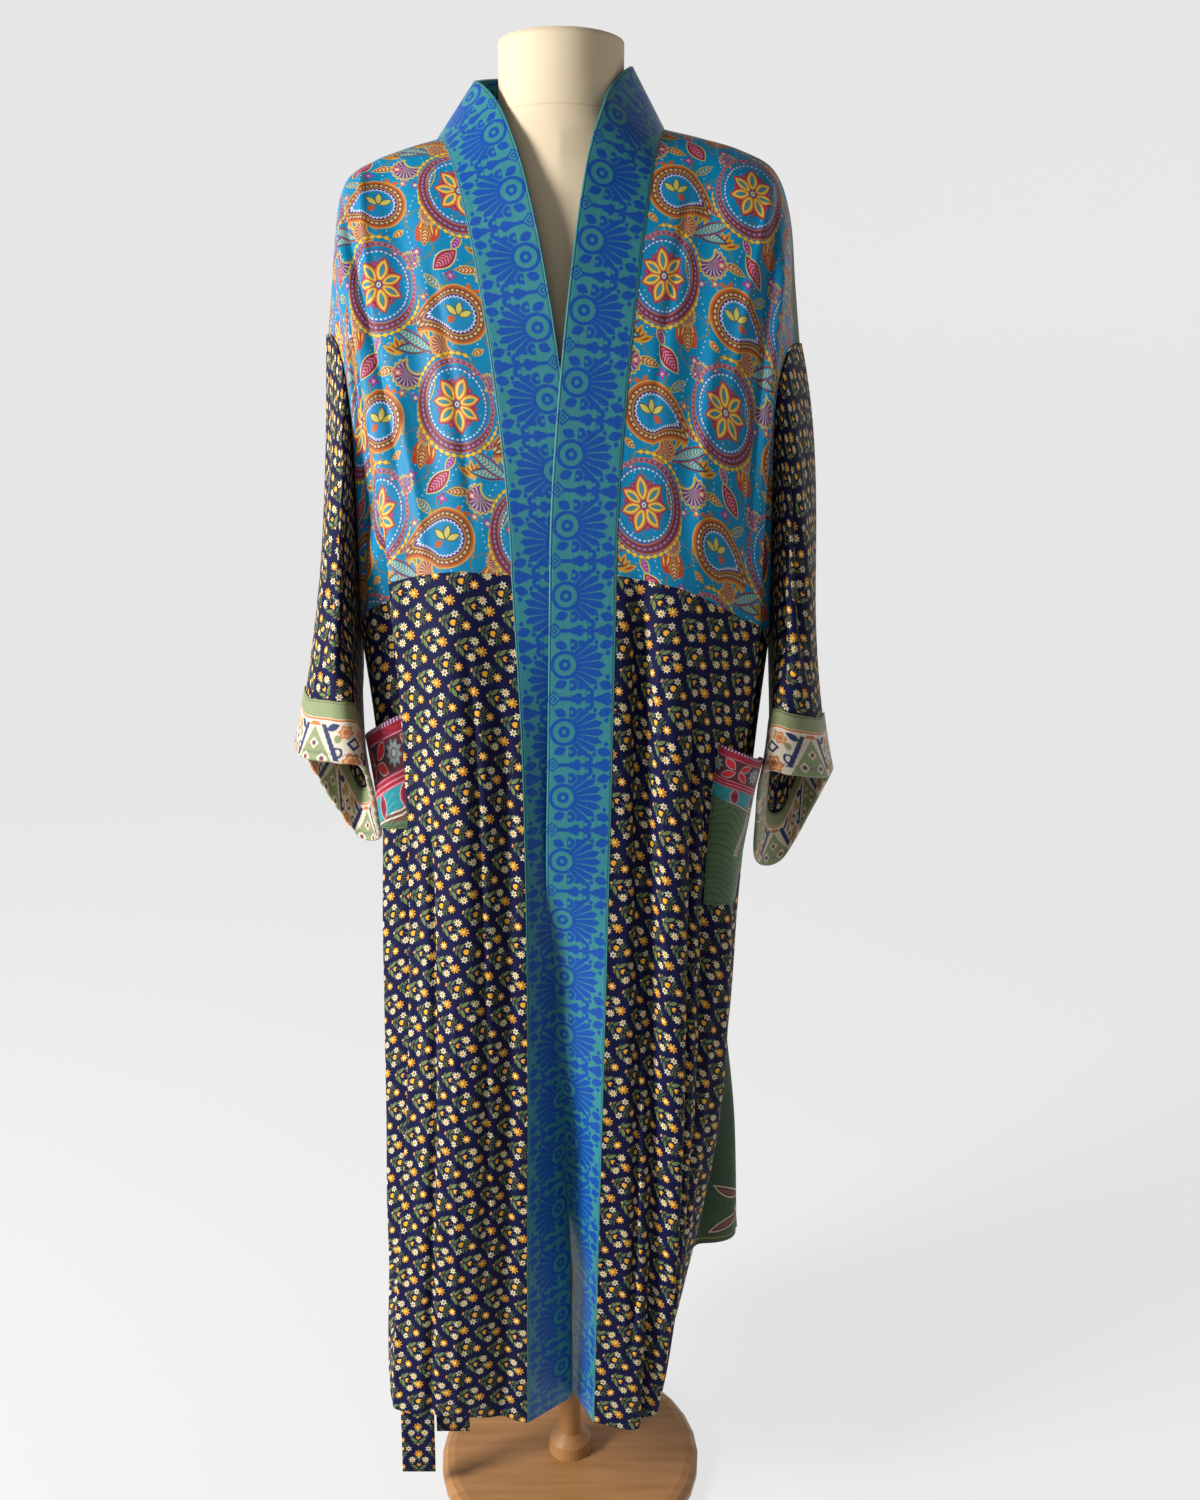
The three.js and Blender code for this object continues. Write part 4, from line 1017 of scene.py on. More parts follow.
def medallion(pen, u, v):
    """A scalloped line, a beaded crescent and a flower with pointed petals in dark outlines."""
    r, angle = pen.far(u * 1.16, v * 0.96), pen.bearing(u, v)
    bead = pen.cos(angle * 46.0)
    # the crescent is widest at the lower right and runs out at the upper left
    toward = pen.cos(angle - 0.7)
    girth = pen.line(toward, 1.6, 2.6)
    scallop = pen.line(bead, 0.7, pen.size(r - 43.4) - 1.0)
    lower_right = toward * -30.0 - 24.0
    pen.fill("6A4A1E", pen.most(scallop - 0.5, lower_right))
    pen.fill("E0B83C", pen.most(scallop, lower_right))
    pen.nest(pen.size(r - 36.8) - girth, (0.5, ORANGE), (-0.5, MAROON))
    pen.paint("A884B8", pen.cover(pen.most(pen.size(r - 36.9) - 0.8, bead * -2.0 - 0.6), 0.5) * 0.8)
    pen.fill("5E4A8C", pen.size(r - 31.6) - 0.5)
    pen.paint("D8DCEA", pen.cover(pen.size(r - 29.8) - 0.6) * pen.cover(bead * -1.0))
    fleck_x, fleck_y = pen.repeat(u + v * 0.4, v, 6.4, 5.2)
    pen.paint("3A5C9C", pen.cover(disc(pen, fleck_x, fleck_y, 1.0), 0.4) * pen.cover(r - 30.0, 1.0) * 0.7)
    # seven petals round the middle
    step = 2 * math.pi / 7
    near = angle - pen.math("ROUND", angle * (1 / step)) * step
    along, across = r * pen.cos(near), r * pen.sin(near)
    petal = leaf(pen, along - 13.4, across, 0, 20.0, 4.8)
    turned = pen.wrap(angle + step / 2, step)
    back_along, back_across = r * pen.cos(turned), r * pen.sin(turned)
    back_petal = leaf(pen, back_along - 12.0, back_across, 0, 17.0, 3.6)
    pen.nest(back_petal, (1.6, "8C3A6C"), (-0.2, "C05A3A"), (-1.6, "5E4A8C"), soft=0.35)
    colors = (2.6, "8E2850"), (1.1, "C8683A"), (-0.5, "DEC454"), (-2.5, "A8502E"), (-3.2, "2A8C9C")
    pen.nest(petal, *colors, soft=0.35)
    pen.nest(r, (4.6, "A23A30"), (3.6, "2A5C9C"), (2.2, CREAM), (1.0, MAROON))


def paisley_drop(pen, u, v):
    """The teardrop over each medallion: round body, tail that curls outward, three-leaved sprig."""
    tail = pen.most(u - 4.0, 0.0)
    bent = v - tail * tail * 0.018 + tail * 0.15
    width = pen.line(tail, -0.56, 25.5)
    body = pen.far(u - tail, bent) - pen.most(width, 0.0)
    angle = pen.bearing(u - 6.0, bent)
    bead = pen.cos(angle * 34.0)
    colors = (1.6, OCHRE), (0.4, ORANGE), (-1.6, BROWN), (-6.4, "B08A3C"), (-7.4, "5B336E")
    pen.nest(body, *colors, soft=0.35)
    pen.paint("CDB48C", pen.cover(pen.size(body + 4.1) - 0.9) * pen.cover(bead * -1.0 - 0.2, 0.5))
    pen.fill("D8DCEA", pen.line(bead, 0.8, body + 9.4))
    pen.fill("1580B0", pen.line(bead, 0.6, body + 10.4))
    for turn in (-150, -95, -40):
        c, s = math.cos(math.radians(turn)), math.sin(math.radians(turn))
        sprig_leaf = leaf(pen, u + 1 - 7.5 * c, v - 2 - 7.5 * s, turn, 13.5, 3.4)
        pen.nest(sprig_leaf, (0, "4E4A22"), (-0.9, "C8BC62"))
    pen.fill(ORANGE, leaf(pen, u - 5, v - 5.5, 45, 9.0, 3.0))


# Leaves and flowers between the medallions: x and y run outward and down from a medallion's middle.
# x, y, turn, length, half, rim, color, vein
PAISLEY_LEAVES = (
    (28, -6, 66, 40, 5.6, "C0A850", "1E7CA0", "C8BC78"),
    (13, 70, 48, 31, 7.6, "D2C072", CRIMSON, "D08A9A"),
    (3, 52, 62, 18, 4.0, "C8B45A", MAGENTA, "C880C0"),
    (-33, 54, 8, 38, 5.6, MAROON, "1E8AA6", "C8B870"),
    (40, -52, -28, 48, 5.8, "9C3448", "1E8AA6", "C8B870"),
    (-17, -50, 35, 13, 3.2, OCHRE, ORANGE, "E0CC88"),
    (30, 50, 84, 22, 4.4, "B48E40", "A84430", "E0CC88"),
    (-30, 30, 30, 18, 3.6, "B48E40", "7A2F50", "C890A0"),
    (52, 20, 110, 26, 4.4, "B48E40", "7A2F50", "C890A0"),
    (-6, -122, 10, 22, 4.2, "C0A850", "A84430", "E0CC88"),
    (24, 92, -40, 20, 4.0, "C0A850", "1E7CA0", "C8BC78"),
)
# x, y, turn, length, spread, count, color, tip
PAISLEY_SPRAYS = (
    (36, -76, 130, 27, 34, 5, "CCA640", "8E5E26"),
    (-33, -44, -140, 25, 30, 4, "BC4A2C", "D8B650"),
    (22, 56, -70, 22, 30, 4, "B0402A", "D8B650"),
    (-20, 62, -60, 18, 34, 4, "C0922E", "8E3A1E"),
    (2, 100, 20, 20, 40, 4, "7E7A34", "C8B860"),
)
# x, y, turn, radius, rim, color
PAISLEY_FANS = (
    (14, -50, 200, 12.0, "CC9850", "9A4A2A"),
    (26, 30, 150, 9.5, "CCA250", "8A3A54"),
    (-26, 78, 230, 13.5, "C2AC50", "5C387A"),
    (44, 74, 20, 8.5, "C2AC50", "5C387A"),
)
# x, y, radius, petals, color, heart
PAISLEY_BLOSSOMS = (
    (-9, 97, 9.5, 5, "BC5C2A", "DEC064"),
    (38, 66, 5.2, 5, MAGENTA, CREAM),
    (-34, 98, 5.0, 5, "6A4C98", CREAM),
    (8, 84, 5.5, 4, MAGENTA, "D890B4"),
    (-32, -22, 3.6, 4, MAGENTA, CREAM),
    (54, -22, 5.4, 6, "B04068", "DECC98"),
    (-40, 8, 4.2, 5, ORANGE, CREAM),
    (50, -4, 4.2, 5, "BC5C2A", CREAM),
    (-14, -30, 3.4, 4, MAGENTA, CREAM),
)


def draw_paisley(pen):
    # curved rows of small dots, and thin curling stems, over the ground
    sway = pen.sin(pen.v * 0.05) * 9.0
    dot_x, dot_y = pen.repeat(pen.u + sway, pen.v, 19.0, 5.2)
    pen.fill("B8D4E0", disc(pen, dot_x, dot_y, 0.6), 0.2)
    curl = pen.wave(pen.v, 49.5) * 13.0
    stem = pen.size(pen.wrap(pen.u + curl, 36.0))
    pen.fill("7E6A2C", stem - 0.7)
    for at_x, at_y, turn, length, spread, count, color, tip in PAISLEY_SPRAYS:
        x, y = around(pen, at_x, at_y, turn)
        for k in range(count):
            fan = spread * (k / (count - 1) - 0.5) * 2
            c, s = math.cos(math.radians(fan)), math.sin(math.radians(fan))
            long = length * (1.0 if k % 2 else 0.84)
            pen.fill(color, leaf(pen, x - c * long / 2, y - s * long / 2, fan, long, 2.9))
            pen.fill(tip, leaf(pen, x - c * long * 0.56, y - s * long * 0.56, fan, long * 0.55, 0.9))
    for at_x, at_y, turn, length, half, rim, color, vein in PAISLEY_LEAVES:
        x, y = around(pen, at_x, at_y, turn)
        edge = leaf(pen, x, y, 0, length, half)
        pen.fill(rim, edge)
        pen.fill("3A2430", edge + 1.1, 0.2)
        pen.fill(color, edge + 1.6)
        veins = pen.sin((x + pen.size(y) * -0.8) * 1.9)
        pen.paint(vein, pen.cover(edge + half * 0.42, 0.5) * pen.cover(veins * 0.6 + 0.05) * 0.8)
    for at_x, at_y, turn, radius, rim, color in PAISLEY_FANS:
        x, y = around(pen, at_x, at_y, turn)
        rays = pen.cos(pen.bearing(x, y) * 16.0)
        outline = pen.line(rays, -0.8, pen.far(x, y) - radius)
        outline = pen.most(outline, radius * 0.62 - pen.far(x - radius, y))
        pen.nest(outline, (0, rim), (-1.8, color))
        pen.paint("C8B494", pen.cover(outline + 2.6) * pen.cover(rays * -1.0 + 0.45) * 0.75)
    for at_x, at_y, radius, count, color, heart in PAISLEY_BLOSSOMS:
        x, y = around(pen, at_x, at_y)
        pen.fill(color, petals(pen, x, y, radius, count, 0.3, 0.6))
        pen.fill(heart, petals(pen, x, y, radius * 0.42, count, 0.3, 0.6))
    paisley_drop(pen, *around(pen, 2.0, -80.0))
    medallion(pen, *around(pen, 0.0, 0.0))


PAISLEY = shared_print("paisley", TURQUOISE, draw_paisley)


def turquoise_paisley(name, origin, turn):
    """The yokes' cloth; origin is where a medallion lies, and turn how far its columns lean."""
    pen = Cloth(name, TURQUOISE, 0.5)
    pen.shader.inputs["Specular IOR Level"].default_value = 0.2
    x, y = pen.turned(pen.u, pen.v, turn)
    pen.use(PAISLEY, x - origin[0], y - origin[1])
    weave(pen, 0.015)
    return pen.finish()


# ---------- the cuffs' border ----------
SAGE, RUST, IVORY, DEEP_BLUE = "8A9468", "C8743A", "E9DECB", "1C2560"
CUFF_REPEAT, CUFF_LINE, BORDER_DEPTH = 84.0, 17.0, 60.0


def cuff_border(name, depth_share):
    """Sage cloth, two rust lines and an ikat border. depth_share is the part of its depth that shows."""
    pen = Cloth(name, IVORY, 0.6, sheen=0.08)
    pen.color = pen.mix(ink(IVORY), ink("D6C4AC"), pen.noise(0.08, 3.0))
    # both measures run over the whole path, round the rim: the rim lies half-way
    to_rim = pen.size(pen.from_top - pen.from_foot) * 0.5
    depth = (pen.from_top + pen.from_foot) * 0.5
    share = (depth - to_rim) / depth
    jag = pen.math("PINGPONG", pen.u, 1.3) - 0.65
    y = share * (BORDER_DEPTH * depth_share) - CUFF_LINE
    # x runs both ways from the middle of a triangle, and back_x from the middle of a flower group
    x = pen.size(pen.wrap(pen.u, CUFF_REPEAT))
    back_x = CUFF_REPEAT / 2 - x
    frayed = y + jag * 1.2

    pen.fill(RUST, pen.most(pen.far(x, (y - 6.0) * 1.5) - 8.0, y - 5.0), 0.4)
    slope = pen.line(x, 1.3, 5.0 - frayed)
    pen.fill(SAGE, slope, 0.6)
    for middle_x, middle_y, width, height in ((0.0, 20.5, 6.6, 4.8), (11.8, 33.5, 7.2, 5.2)):
        across, down = pen.size(x - middle_x), pen.size(frayed - middle_y)
        pen.fill(IVORY, pen.line(across, height / width, down - height), 0.5)
        pen.fill(RUST, pen.far(across * 0.8, down) - 2.6, 0.4)
        pen.fill(DEEP_BLUE, pen.far(across * 0.75, down) - 1.6, 0.4)
    # the blue flame beside the triangle, with a hook at its foot
    bend = pen.size(pen.line(frayed, -0.55, x - 9.5)) - 2.9
    pen.fill(DEEP_BLUE, pen.most(bend, pen.size(y - 19.0) - 15.5), 0.5)
    pen.fill(DEEP_BLUE, leaf(pen, back_x - 20.0, y - 5.5, 25, 14.0, 3.2), 0.5)
    hook = ring(pen, pen.far(back_x - 13.5, y - 27.0), 3.0, 5.2)
    pen.fill(DEEP_BLUE, pen.most(hook, 22.5 - y), 0.4)
    pen.fill(SAGE, pen.far(back_x - 14.5, y - 15.0) - 3.4, 0.6)
    # the flower group
    pen.nest(pen.size(back_x) + pen.size(y - 18.5), (6.4, DEEP_BLUE), (3.4, IVORY), soft=0.4)
    for at_x, at_y, radius in ((8.2, 9.0, 6.4), (0.0, 34.5, 8.6)):
        for size_share, color in ((1.0, RUST), (0.72, "E3A878"), (0.42, RUST)):
            pen.fill(color, petals(pen, back_x - at_x, y - at_y, radius * size_share, 6, 0.14, 0.4), 0.4)
    pen.fill("F2EBDD", y - 1.2)
    pen.fill(RUST, y - 0.2)
    pen.fill("E6C8A4", y + 1.6, 0.25)
    pen.fill(SAGE, y + 2.3)
    pen.color = pen.mix(pen.color, ink("5F6B45"), pen.noise(0.05, 2.0) * 0.16)
    weave(pen, 0.03, 1.4)
    stitches(pen, pen.least(pen.from_top, pen.from_foot) - 2.0, "3A4428", along=pen.u)
    zigzag = pen.size(to_rim - 9.5 + jag * 2.4) - 0.45
    pen.fill("20263A", zigzag, 0.2)
    return pen.finish()


# ---------- the green cloth ----------
GREEN = "3C5638"


def green_cloth():
    """Dark green cloth with faint tonal leaves and a border of flowers along its hem."""
    pen = Cloth("green_cloth", GREEN, 0.6, sheen=0.06)
    pen.color = pen.mix(ink(GREEN), ink("2C4530"), pen.noise(0.02, 3.0))
    x, y = pen.repeat(pen.u, pen.v, 64.0, 88.0, 44.0)
    for edge in leaves(
        pen, x, y,
        (-9, -16, 60, 30, 6),
        (11, -4, 125, 26, 5.2),
        (-6, 20, 30, 24, 4.8),
        (16, 26, 80, 18, 3.6),
    ):
        pen.paint("56704A", pen.cover(pen.size(edge) - 0.4) * 0.6)
    # the hem border
    along = pen.wrap(pen.u + 6.0, 110.0)
    up = pen.from_foot
    flower_y = up - 40.0
    border = (
        (-26, 26, 30, 46, 7.0),
        (30, 22, 155, 44, 7.0),
        (-22, 68, -35, 42, 6.4),
        (34, 62, -140, 36, 6.0),
        (4, 92, 100, 34, 5.6),
    )
    for edge, (*_, half) in zip(leaves(pen, along, up, *border), border):
        pen.nest(edge, (0, "D9CBA0"), (-1.6, "5E2232"), soft=0.4)
        pen.paint("8E5A4A", pen.cover(edge + half * 0.62, 0.5) * 0.7)
    for radius, notch, color in (
        (17.0, 0.16, "E2CF94"),
        (15.4, 0.16, "B98A22"),
        (10.0, 0.22, "D8AE3C"),
        (4.6, 0.1, "6E3A1E"),
    ):
        pen.fill(color, petals(pen, along, flower_y, radius, 6, notch, 0.4), 0.4)
    pen.paint("8A7A3A", pen.cover(pen.size(up - 7.0) - 0.9, 0.4))
    weave(pen)
    stitches(pen, up - 3.0, "20301E", along=pen.u)
    return pen.finish()


# ---------- the patchwork pockets ----------
def pocket_patch(name, scale, flower_shift):
    """A crimson border along the mouth, a turquoise strip and quilted dark green cloth below.

    scale stretches the strips' depths, and flower_shift moves the border's flowers along."""
    pen = Cloth(name, "4C6A40", 0.55, sheen=0.06)
    pen.color = pen.mix(ink("5A764E"), ink("46603E"), pen.noise(0.03, 3.0))
    u, w = pen.u, pen.from_top * scale
    wander = pen.sin(u * 0.16) * 4.0 + pen.sin(pen.v * 0.05) * 3.0 + pen.noise(0.04, 1.0) * 14.0
    quilt = pen.wave(pen.v + wander, 7.0)
    pen.raise_by(quilt * 0.16)
    # painted shade: a darker tone of the cloth's green along the bottom of each quilting channel; the
    # crests are laid a little toward a middle green
    pen.paint("2E462C", pen.cover(quilt + 0.82, 0.12) * 0.7)
    pen.paint("4E6A44", pen.cover(-quilt + 0.8, 0.2) * 0.25)

    # cream and rust outlines of a long leaf that hangs below the strip
    sway = u + 9.0 + pen.sin(w * 0.075) * 5.0
    reach = pen.size(w - 74.0) - 27.0
    for half, color in ((2.6, "D8C6B4"), (1.5, "8C4A38"), (0.5, "C9A08C")):
        pen.fill(color, pen.most(pen.size(sway) - half, reach + (2.6 - half)), 0.4)
    pen.fill("6A4636", w - 58.0 + pen.size(u - 4.0) * 0.25, 0.4)
    for at in (51.5, 54.5):
        pen.fill("D8CDBE", pen.size(w - at + pen.size(u - 4.0) * 0.12) - 0.5)
    pen.fill("1F8F98", w - 50.0, 0.4)
    drop_u = pen.wrap(u + 3.0, 26.0)
    drop = leaf(pen, drop_u, w - 44.0, 78, 14.0, 4.2)
    pen.nest(drop, (0.8, "D8A8A8"), (0, "A01838"), (-2.2, "6A1030"))

    pen.fill("A11634", w - 37.0, 0.4)
    for at in (36.4, 33.4, 30.2, 8.4):
        pen.fill("D88C9A", pen.size(w - at) - 0.35)
    field = pen.most(9.0 - w, w - 29.0)
    pen.fill("5C2434", field, 0.4)
    cell = pen.wrap(u + flower_shift, 44.0)
    for radius, color in ((8.4, "6E8C8C"), (6.4, "95A8A0"), (4.2, "7A5C66"), (2.4, "A8B8AC")):
        bloom = petals(pen, cell, w - 18.5, radius, 9, 0.16, 0.2)
        pen.fill(color, pen.most(bloom, field))
    for red_leaf in leaves(
        pen, cell, w,
        (14.0, 14.0, 35, 13, 3.4),
        (15.0, 24.0, -30, 13, 3.2),
        (-14.0, 14.5, 140, 12, 3.0),
        (-15.0, 23.5, -140, 12, 3.2),
    ):
        pen.nest(pen.most(red_leaf, field), (0.7, "B8C0BC"), (0, "D8242C"))
    # the striped rim
    rim = pen.sin(u * 1.9)
    pen.fill("D9A0C0", w - 2.4)
    pen.paint("2C2A40", pen.cover(w - 2.4) * pen.cover(rim, 0.4))
    weave(pen)
    stitches(pen, pen.from_side - 2.0, "16201A")
    stitches(pen, pen.from_foot - 2.0, "16201A", along=pen.u)
    return pen.finish()


# ---------- dress form, wood, stage ----------
def solid_place(pen):
    """Places in the object's own space, in millimetres."""
    coordinates = pen.tree.nodes.new("ShaderNodeTexCoord")
    return [axis * 1000.0 for axis in pen.split(coordinates.outputs["Object"])]


FORM_SEAM = 1459.0  # height of the seam round the form's neck


def form_cover():
    pen = Cloth("form_cover", "E6D6BC", 0.8, sheen=0.05)
    x, y, z = solid_place(pen)
    pen.color = pen.mix(ink("D9C8AC"), ink("C9B492"), pen.noise(0.012, 3.0, at=pen.join(x, y, z)))
    knit = pen.wave(x + y, 1.4) * pen.wave(z, 1.4)
    pen.raise_by(knit * 0.03)
    seam = pen.size(z - FORM_SEAM)
    pen.paint("B49C7C", pen.cover(seam - 0.4, 0.5) * 0.6)
    pen.raise_by(pen.cover(seam - 0.8, 0.8) * -0.3)
    return pen.finish()


def wood():
    pen = Cloth("wood", "A87A4E", 0.42)
    x, y, z = solid_place(pen)
    grain = pen.noise(0.02, 6.0, at=pen.join(x * 0.5, y * 6.0, z * 0.5))
    pen.color = pen.mix(ink("B58654"), ink("82552F"), grain)
    pen.raise_by(grain * 0.05)
    return pen.finish()


def thread():
    """Twisted navy thread, with a painted highlight on the raised side of each twist."""
    pen = Cloth("thread", "17182C", 0.7)
    x, y, z = solid_place(pen)
    twist = pen.wave(x + y + z, 1.6)
    # painted highlight: a lighter navy where the twist stands highest, the plain navy in its grooves
    pen.color = pen.mix(ink("17182C"), ink("2A2C48"), pen.cover(-twist, 0.8))
    pen.raise_by(twist * 0.12)
    return pen.finish()


MATERIALS = {
    "front_yoke_right": turquoise_paisley("paisley_right", (22.0, -66.0), 0),
    "front_yoke_left": turquoise_paisley("paisley_left", (60.0, -138.0), -10),
    "front_skirt_right": navy_floral("navy_skirt_right", 22),
    "front_skirt_left": navy_floral("navy_skirt_left", 165),
    "back": green_cloth(),
    "front_band": blue_band(),
    "sleeve_right": navy_floral("navy_sleeve_right", -58),
    "sleeve_left": navy_floral("navy_sleeve_left", -58),
    "cuff_right": cuff_border("cuff_border_right", 1.0),
    "cuff_left": cuff_border("cuff_border_left", 0.9),
    "pocket_right": pocket_patch("pocket_patch_right", 1.0, 12.0),
    "pocket_left": pocket_patch("pocket_patch_left", 0.55, 0.0),
    "belt": navy_floral("navy_belt", 90),
    "belt_loop": thread(),
    "form_torso": form_cover(),
    "form_pole": wood(),
}
MATERIALS["form_base"] = MATERIALS["form_pole"]


def settle(piece, slot, node):
    """Puts a piece on the part's one body, in place of a solid."""
    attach(piece, "root")
    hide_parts(node)
    piece.name = f"{node}_cloth"


def add_cloth(node, slot, points, normals, cut, **options):
    settle(shell(node, points, normals, cut, MATERIALS[node], **options), slot, node)


fronts = {side: front_points(side) for side in SIGN}
back = back_points()


def add_panel(node, slot, panel, origin_column, first=0, last=None):
    """Rows of a panel, whose cut runs across from a column and down from the yoke level."""
    across, down = run_along(panel["points"], 1), run_along(panel["points"], 0)
    seam, part = panel["seam_row"], slice(first, last)
    cut = np.stack([across - across[:, origin_column, None], down - down[seam]], -1)
    add_cloth(node, slot, panel["points"][part], panel["normals"][part], cut[part])


for side, panel in fronts.items():
    add_panel(f"front_yoke_{side}", "paisley", panel, 0, 0, panel["seam_row"] + 1)
    add_panel(f"front_skirt_{side}", "navy_floral", panel, 0, panel["seam_row"])
add_panel("back", "green_cloth", back, len(back["s"]) // 2)

band = band_points(fronts, back)
band_across, band_down = run_along(band["points"], 1), run_along(band["points"], 0)
band_cut = np.stack([BAND_WIDTH - band_across, np.repeat(band_down[:, -1:], band_across.shape[1], 1)], -1)
add_cloth("front_band", "blue_band", **band, cut=band_cut, thickness=BAND_CLOTH - SHAVED)


def ring_cut(sheet):
    """Cloth coordinates of a sleeve: across from its top line, down from its rim."""
    ring = np.concatenate([sheet["points"], sheet["points"][:, :1]], 1)
    across, down = run_along(ring, 1), run_along(ring, 0)
    top = int(np.argmin(np.abs(sheet["turn"] - 0.5)))
    return np.stack([across - across[:, top, None], down - down[-1]], -1)


def cuff_path(sheet, cut, first):
    """The cuff's grid: down the outside of the sleeve's end, round its rim and up the inside."""
    points, normals, cut = sheet["points"][first:], sheet["normals"][first:], cut[first:]
    down = points[-1] - points[-2]
    down /= np.linalg.norm(down, axis=-1, keepdims=True)
    turn = np.linspace(0, np.pi, 7)[1:-1, None, None]

    def there_and_back(values, inner, round_the_rim):
        return np.concatenate([values, round_the_rim, inner[::-1]])

    facing = there_and_back(normals, -normals, normals[-1] * np.cos(turn) + down * np.sin(turn))
    middle = there_and_back(points, points, np.repeat(points[-1:], len(turn), 0))
    cut = there_and_back(cut, cut, np.repeat(cut[-1:], len(turn), 0))
    return middle + facing * (CLOTH + LAYER_GAP), facing, cut


for side in SIGN:
    sheet = sleeve_points(side, fronts[side], back)
    cut = ring_cut(sheet)
    # the sleeve ends just short of its rim, inside the cuff
    sleeve = sheet["points"][:-2], sheet["normals"][:-2], cut[:-2]
    add_cloth(f"sleeve_{side}", "navy_floral", *sleeve, closed=True)
    first = int(np.searchsorted(sheet["t"], 1 - CUFF_ROWS / DOWN_SLEEVE - 1e-6))
    add_cloth(f"cuff_{side}", "cuff_border", *cuff_path(sheet, cut, first), closed=True)


def pocket_grid(side):
    """The pocket's points and normals, on its panel and standing off at the mouth."""
    cell, panel = POCKETS[side], fronts[side]
    down, columns = cell["row1"] - cell["row0"], cell["column1"] - cell["column0"]
    j = fine_steps(columns * FINE)[None, :]
    i = fine_steps(down * FINE)[:, None]
    mouth = lerp(cell["innerDrop"], cell["outerDrop"], j)
    s = (cell["column0"] + j * columns) / ACROSS_FRONT
    v = 1 + (cell["row0"] + lerp(mouth, down, i)) / DOWN_SKIRT

    def sample(values):
        """Bilinear look-up in the panel's own fine grid."""
        fx = np.interp(s + 0 * v, panel["s"], np.arange(len(panel["s"])))
        fy = np.interp(v + 0 * s, panel["v"], np.arange(len(panel["v"])))
        x0 = np.minimum(fx.astype(int), len(panel["s"]) - 2)
        y0 = np.minimum(fy.astype(int), len(panel["v"]) - 2)
        tx, ty = (fx - x0)[..., None], (fy - y0)[..., None]
        top = lerp(values[y0, x0], values[y0, x0 + 1], tx)
        return lerp(top, lerp(values[y0 + 1, x0], values[y0 + 1, x0 + 1], tx), ty)

    normals = sample(panel["normals"])
    normals /= np.linalg.norm(normals, axis=-1, keepdims=True)
    gape = cell["gape"] * (1 - i) * np.sin(np.pi * j)
    return sample(panel["points"]) + normals * gape[..., None], normals


for side in SIGN:
    points, normals = pocket_grid(side)
    across, down = run_along(points, 1), run_along(points, 0)
    cut = np.stack([across - across[:, -1:] / 2, down], -1)
    add_cloth(f"pocket_{side}", "pocket_patch", points, normals, cut, offset=CLOTH + LAYER_GAP)

# the belt
place = np.linspace(0, len(BELT) - 1, (len(BELT) - 1) * BELT_STEPS + 1)
belt_line = splined(table_points(BELT, "x", "y", "z"), place)
belt_half = splined(table_points(BELT, "width"), place) / 2
across = np.linspace(-1, 1, 9)
belt_points = belt_line[:, None] + vec(across * belt_half, 0, 0)
belt_cut = np.stack([0 * belt_points[..., 0] + across * BELT_WIDTH / 2, run_along(belt_points, 0)], -1)
add_cloth("belt", "navy_floral", belt_points, normals_of(belt_points), belt_cut)


# ---------- dress form ----------
def ring_faces(count, around):
    """The faces between count rings of around points each."""
    ids = np.arange(count * around).reshape(count, around)
    return quads(np.concatenate([ids, ids[:, :1]], 1)).tolist()


def form_rings(place, around):
    columns = ("half", "front", "back", "power", "z")
    half, front, behind, power, z = (splined(table_points(FORM, c), place) for c in columns)
    angle = np.linspace(0, 2 * np.pi, around, endpoint=False)[None, :]
    x, y = (np.sign(wave) * np.abs(wave) ** (2 / power) for wave in (np.cos(angle), np.sin(angle)))
    return vec(half * x, np.where(y < 0, front, behind) * y, z)


def capped(name, rings, material, cap_steps=(0.97, 0.8, 0.4)):
    """A closed body of rings from top to bottom, with rings drawn in on its flat ends."""
    def ends(ring):
        centre = ring.mean(0)
        return [centre + (ring - centre) * share for share in cap_steps]

    rings = np.array([*reversed(ends(rings[0])), *rings, *ends(rings[-1])])
    count, around = rings.shape[:2]
    points = np.concatenate([rings.reshape(-1, 3), [rings[0].mean(0)], [rings[-1].mean(0)]])
    faces = ring_faces(count, around)
    top, low, last = count * around, count * around + 1, (count - 1) * around
    for j in range(around):
        k = (j + 1) % around
        faces += [(top, j, k), (low, last + k, last + j)]
    return mesh_object(name, points, faces, material)


form_place = np.linspace(0, len(FORM) - 1, FORM_RINGS)
torso = capped("form_torso", form_rings(form_place, FORM_COLUMNS), MATERIALS["form_torso"])
settle(torso, "form_cover", "form_torso")

for node in ("belt_loop", "form_pole", "form_base"):
    for material_slot in bpy.data.objects[node].material_slots:
        material_slot.material = MATERIALS[node]


# ---------- the cloth's flat sizes, in metres; area in square metres ----------
SHEETS = rows("name width length area held rests_on",
    ("front_yoke_right", 0.265, 0.438, 0.079, "draped", "form_torso"),
    ("front_yoke_left", 0.265, 0.435, 0.079, "draped", "form_torso"),
    ("front_skirt_right", 0.286, 0.885, 0.217, "hung", "front_yoke_right"),
    ("front_skirt_left", 0.28, 0.884, 0.228, "hung", "front_yoke_left"),
    ("back", 0.785, 1.28, 0.714, "draped", "form_torso"),
    ("front_band", 0.06, 2.96, 0.177, "draped", "back"),
    ("sleeve_right", 0.65, 0.46, 0.136, "hung", "front_yoke_right"),
    ("sleeve_left", 0.66, 0.436, 0.13, "hung", "front_yoke_left"),
    ("cuff_right", 0.53, 0.122, 0.05, "hung", "sleeve_right"),
    ("cuff_left", 0.51, 0.122, 0.05, "hung", "sleeve_left"),
    ("pocket_right", 0.107, 0.163, 0.014, "hung", "front_skirt_right"),
    ("pocket_left", 0.126, 0.14, 0.0106, "hung", "front_skirt_left"),
    ("belt", 0.037, 1.585, 0.05, "hung", "belt_loop"),
)


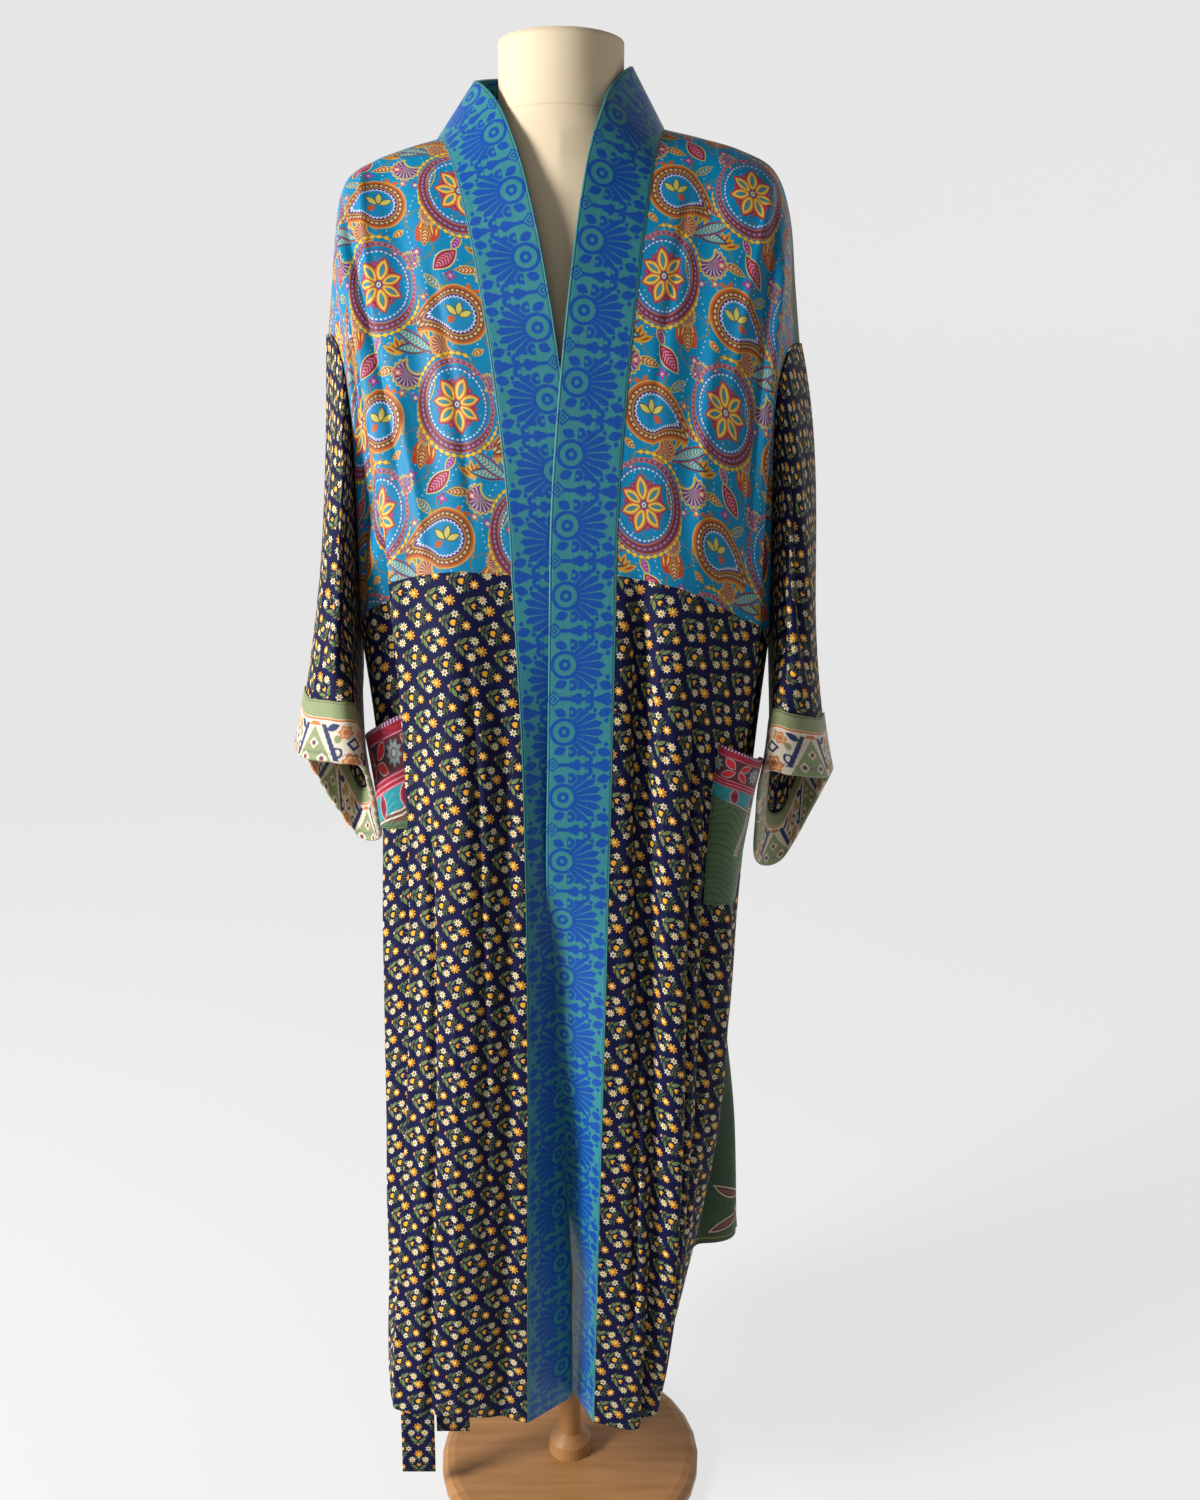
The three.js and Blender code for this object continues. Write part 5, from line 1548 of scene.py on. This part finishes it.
# ---------- stage ----------
def bowl(name, material):
    """A pale round floor that curves up into a wall far off on every side, so that no horizon shows."""
    bend = np.linspace(0, np.pi / 2, 17)
    profile = [(500, 0), (2500, 0), *((5000 + 2000 * math.sin(a), 2000 - 2000 * math.cos(a)) for a in bend)]
    profile.append((7000, 8000))
    around = 96
    angle = np.linspace(0, 2 * np.pi, around, endpoint=False)
    points = [(r * math.cos(a), r * math.sin(a), z - 1) for r, z in profile for a in angle]
    points.append((0, 0, -1))
    fan = [(len(points) - 1, j, (j + 1) % around) for j in range(around)]
    return mesh_object(name, points, fan + ring_faces(len(profile), around), material)


# the paper's glow grows over this run in millimetres, from this place in front of the object
GLOW_FROM, GLOW_RUN = -1500.0, 1400.0
GLOW_IN_FRONT, GLOW_BEHIND = 0.23, 0.48


def paper_look():
    """Pale paper that glows evenly behind the object and less in front of it."""
    pen = Cloth("paper", "6C6C6C", 0.95)
    across, along, up = solid_place(pen)
    behind = pen.line(along, 1 / GLOW_RUN, -GLOW_FROM / GLOW_RUN, clamp=True)
    pen.put(pen.line(behind, GLOW_BEHIND, GLOW_IN_FRONT), pen.shader.inputs["Emission Strength"])
    pen.shader.inputs["Emission Color"].default_value = (1, 1, 1, 1)
    pen.shader.inputs["Specular IOR Level"].default_value = 0.0
    pen.color = pen.mix(ink("6C6C6C"), ink("6A6A6A"), pen.noise(0.003, 2.0, at=pen.join(across, along, up)))
    return pen.finish()


bowl("floor", paper_look())

CAMERA_AT = (0.035, -1.300, 1.190)
CAMERA_TILT = 14.05  # degrees below level
FOCAL_PIXELS = 1311
PHOTO_HEIGHT = 1500
SENSOR = 36.0
camera_data = bpy.data.cameras.new("camera")
camera_data.sensor_width = SENSOR
camera_data.lens = FOCAL_PIXELS * SENSOR / PHOTO_HEIGHT
camera = bpy.data.objects.new("camera", camera_data)
camera.location = CAMERA_AT
camera.rotation_euler = (math.radians(90 - CAMERA_TILT), 0, 0)
bpy.context.scene.collection.objects.link(camera)
bpy.context.scene.camera = camera

world = bpy.data.worlds.new("studio")
bpy.context.scene.world = world
world.use_nodes = True
world.node_tree.nodes["Background"].inputs["Color"].default_value = (0.85, 0.86, 0.88, 1)
world.node_tree.nodes["Background"].inputs["Strength"].default_value = 0.05


def area_light(name, at, target, size, power):
    data = bpy.data.lights.new(name, "AREA")
    data.size = size
    data.energy = power
    light = bpy.data.objects.new(name, data)
    light.location = at
    light.rotation_euler = (Vector(target) - Vector(at)).to_track_quat("-Z", "Y").to_euler()
    bpy.context.scene.collection.objects.link(light)


area_light("key", (-2.3, -1.2, 1.6), (0, 0, 0.8), 0.7, 128)
area_light("fill", (-0.4, -2.8, 1.8), (0, 0, 0.9), 1.2, 4)

bpy.context.scene.view_settings.view_transform = "Standard"
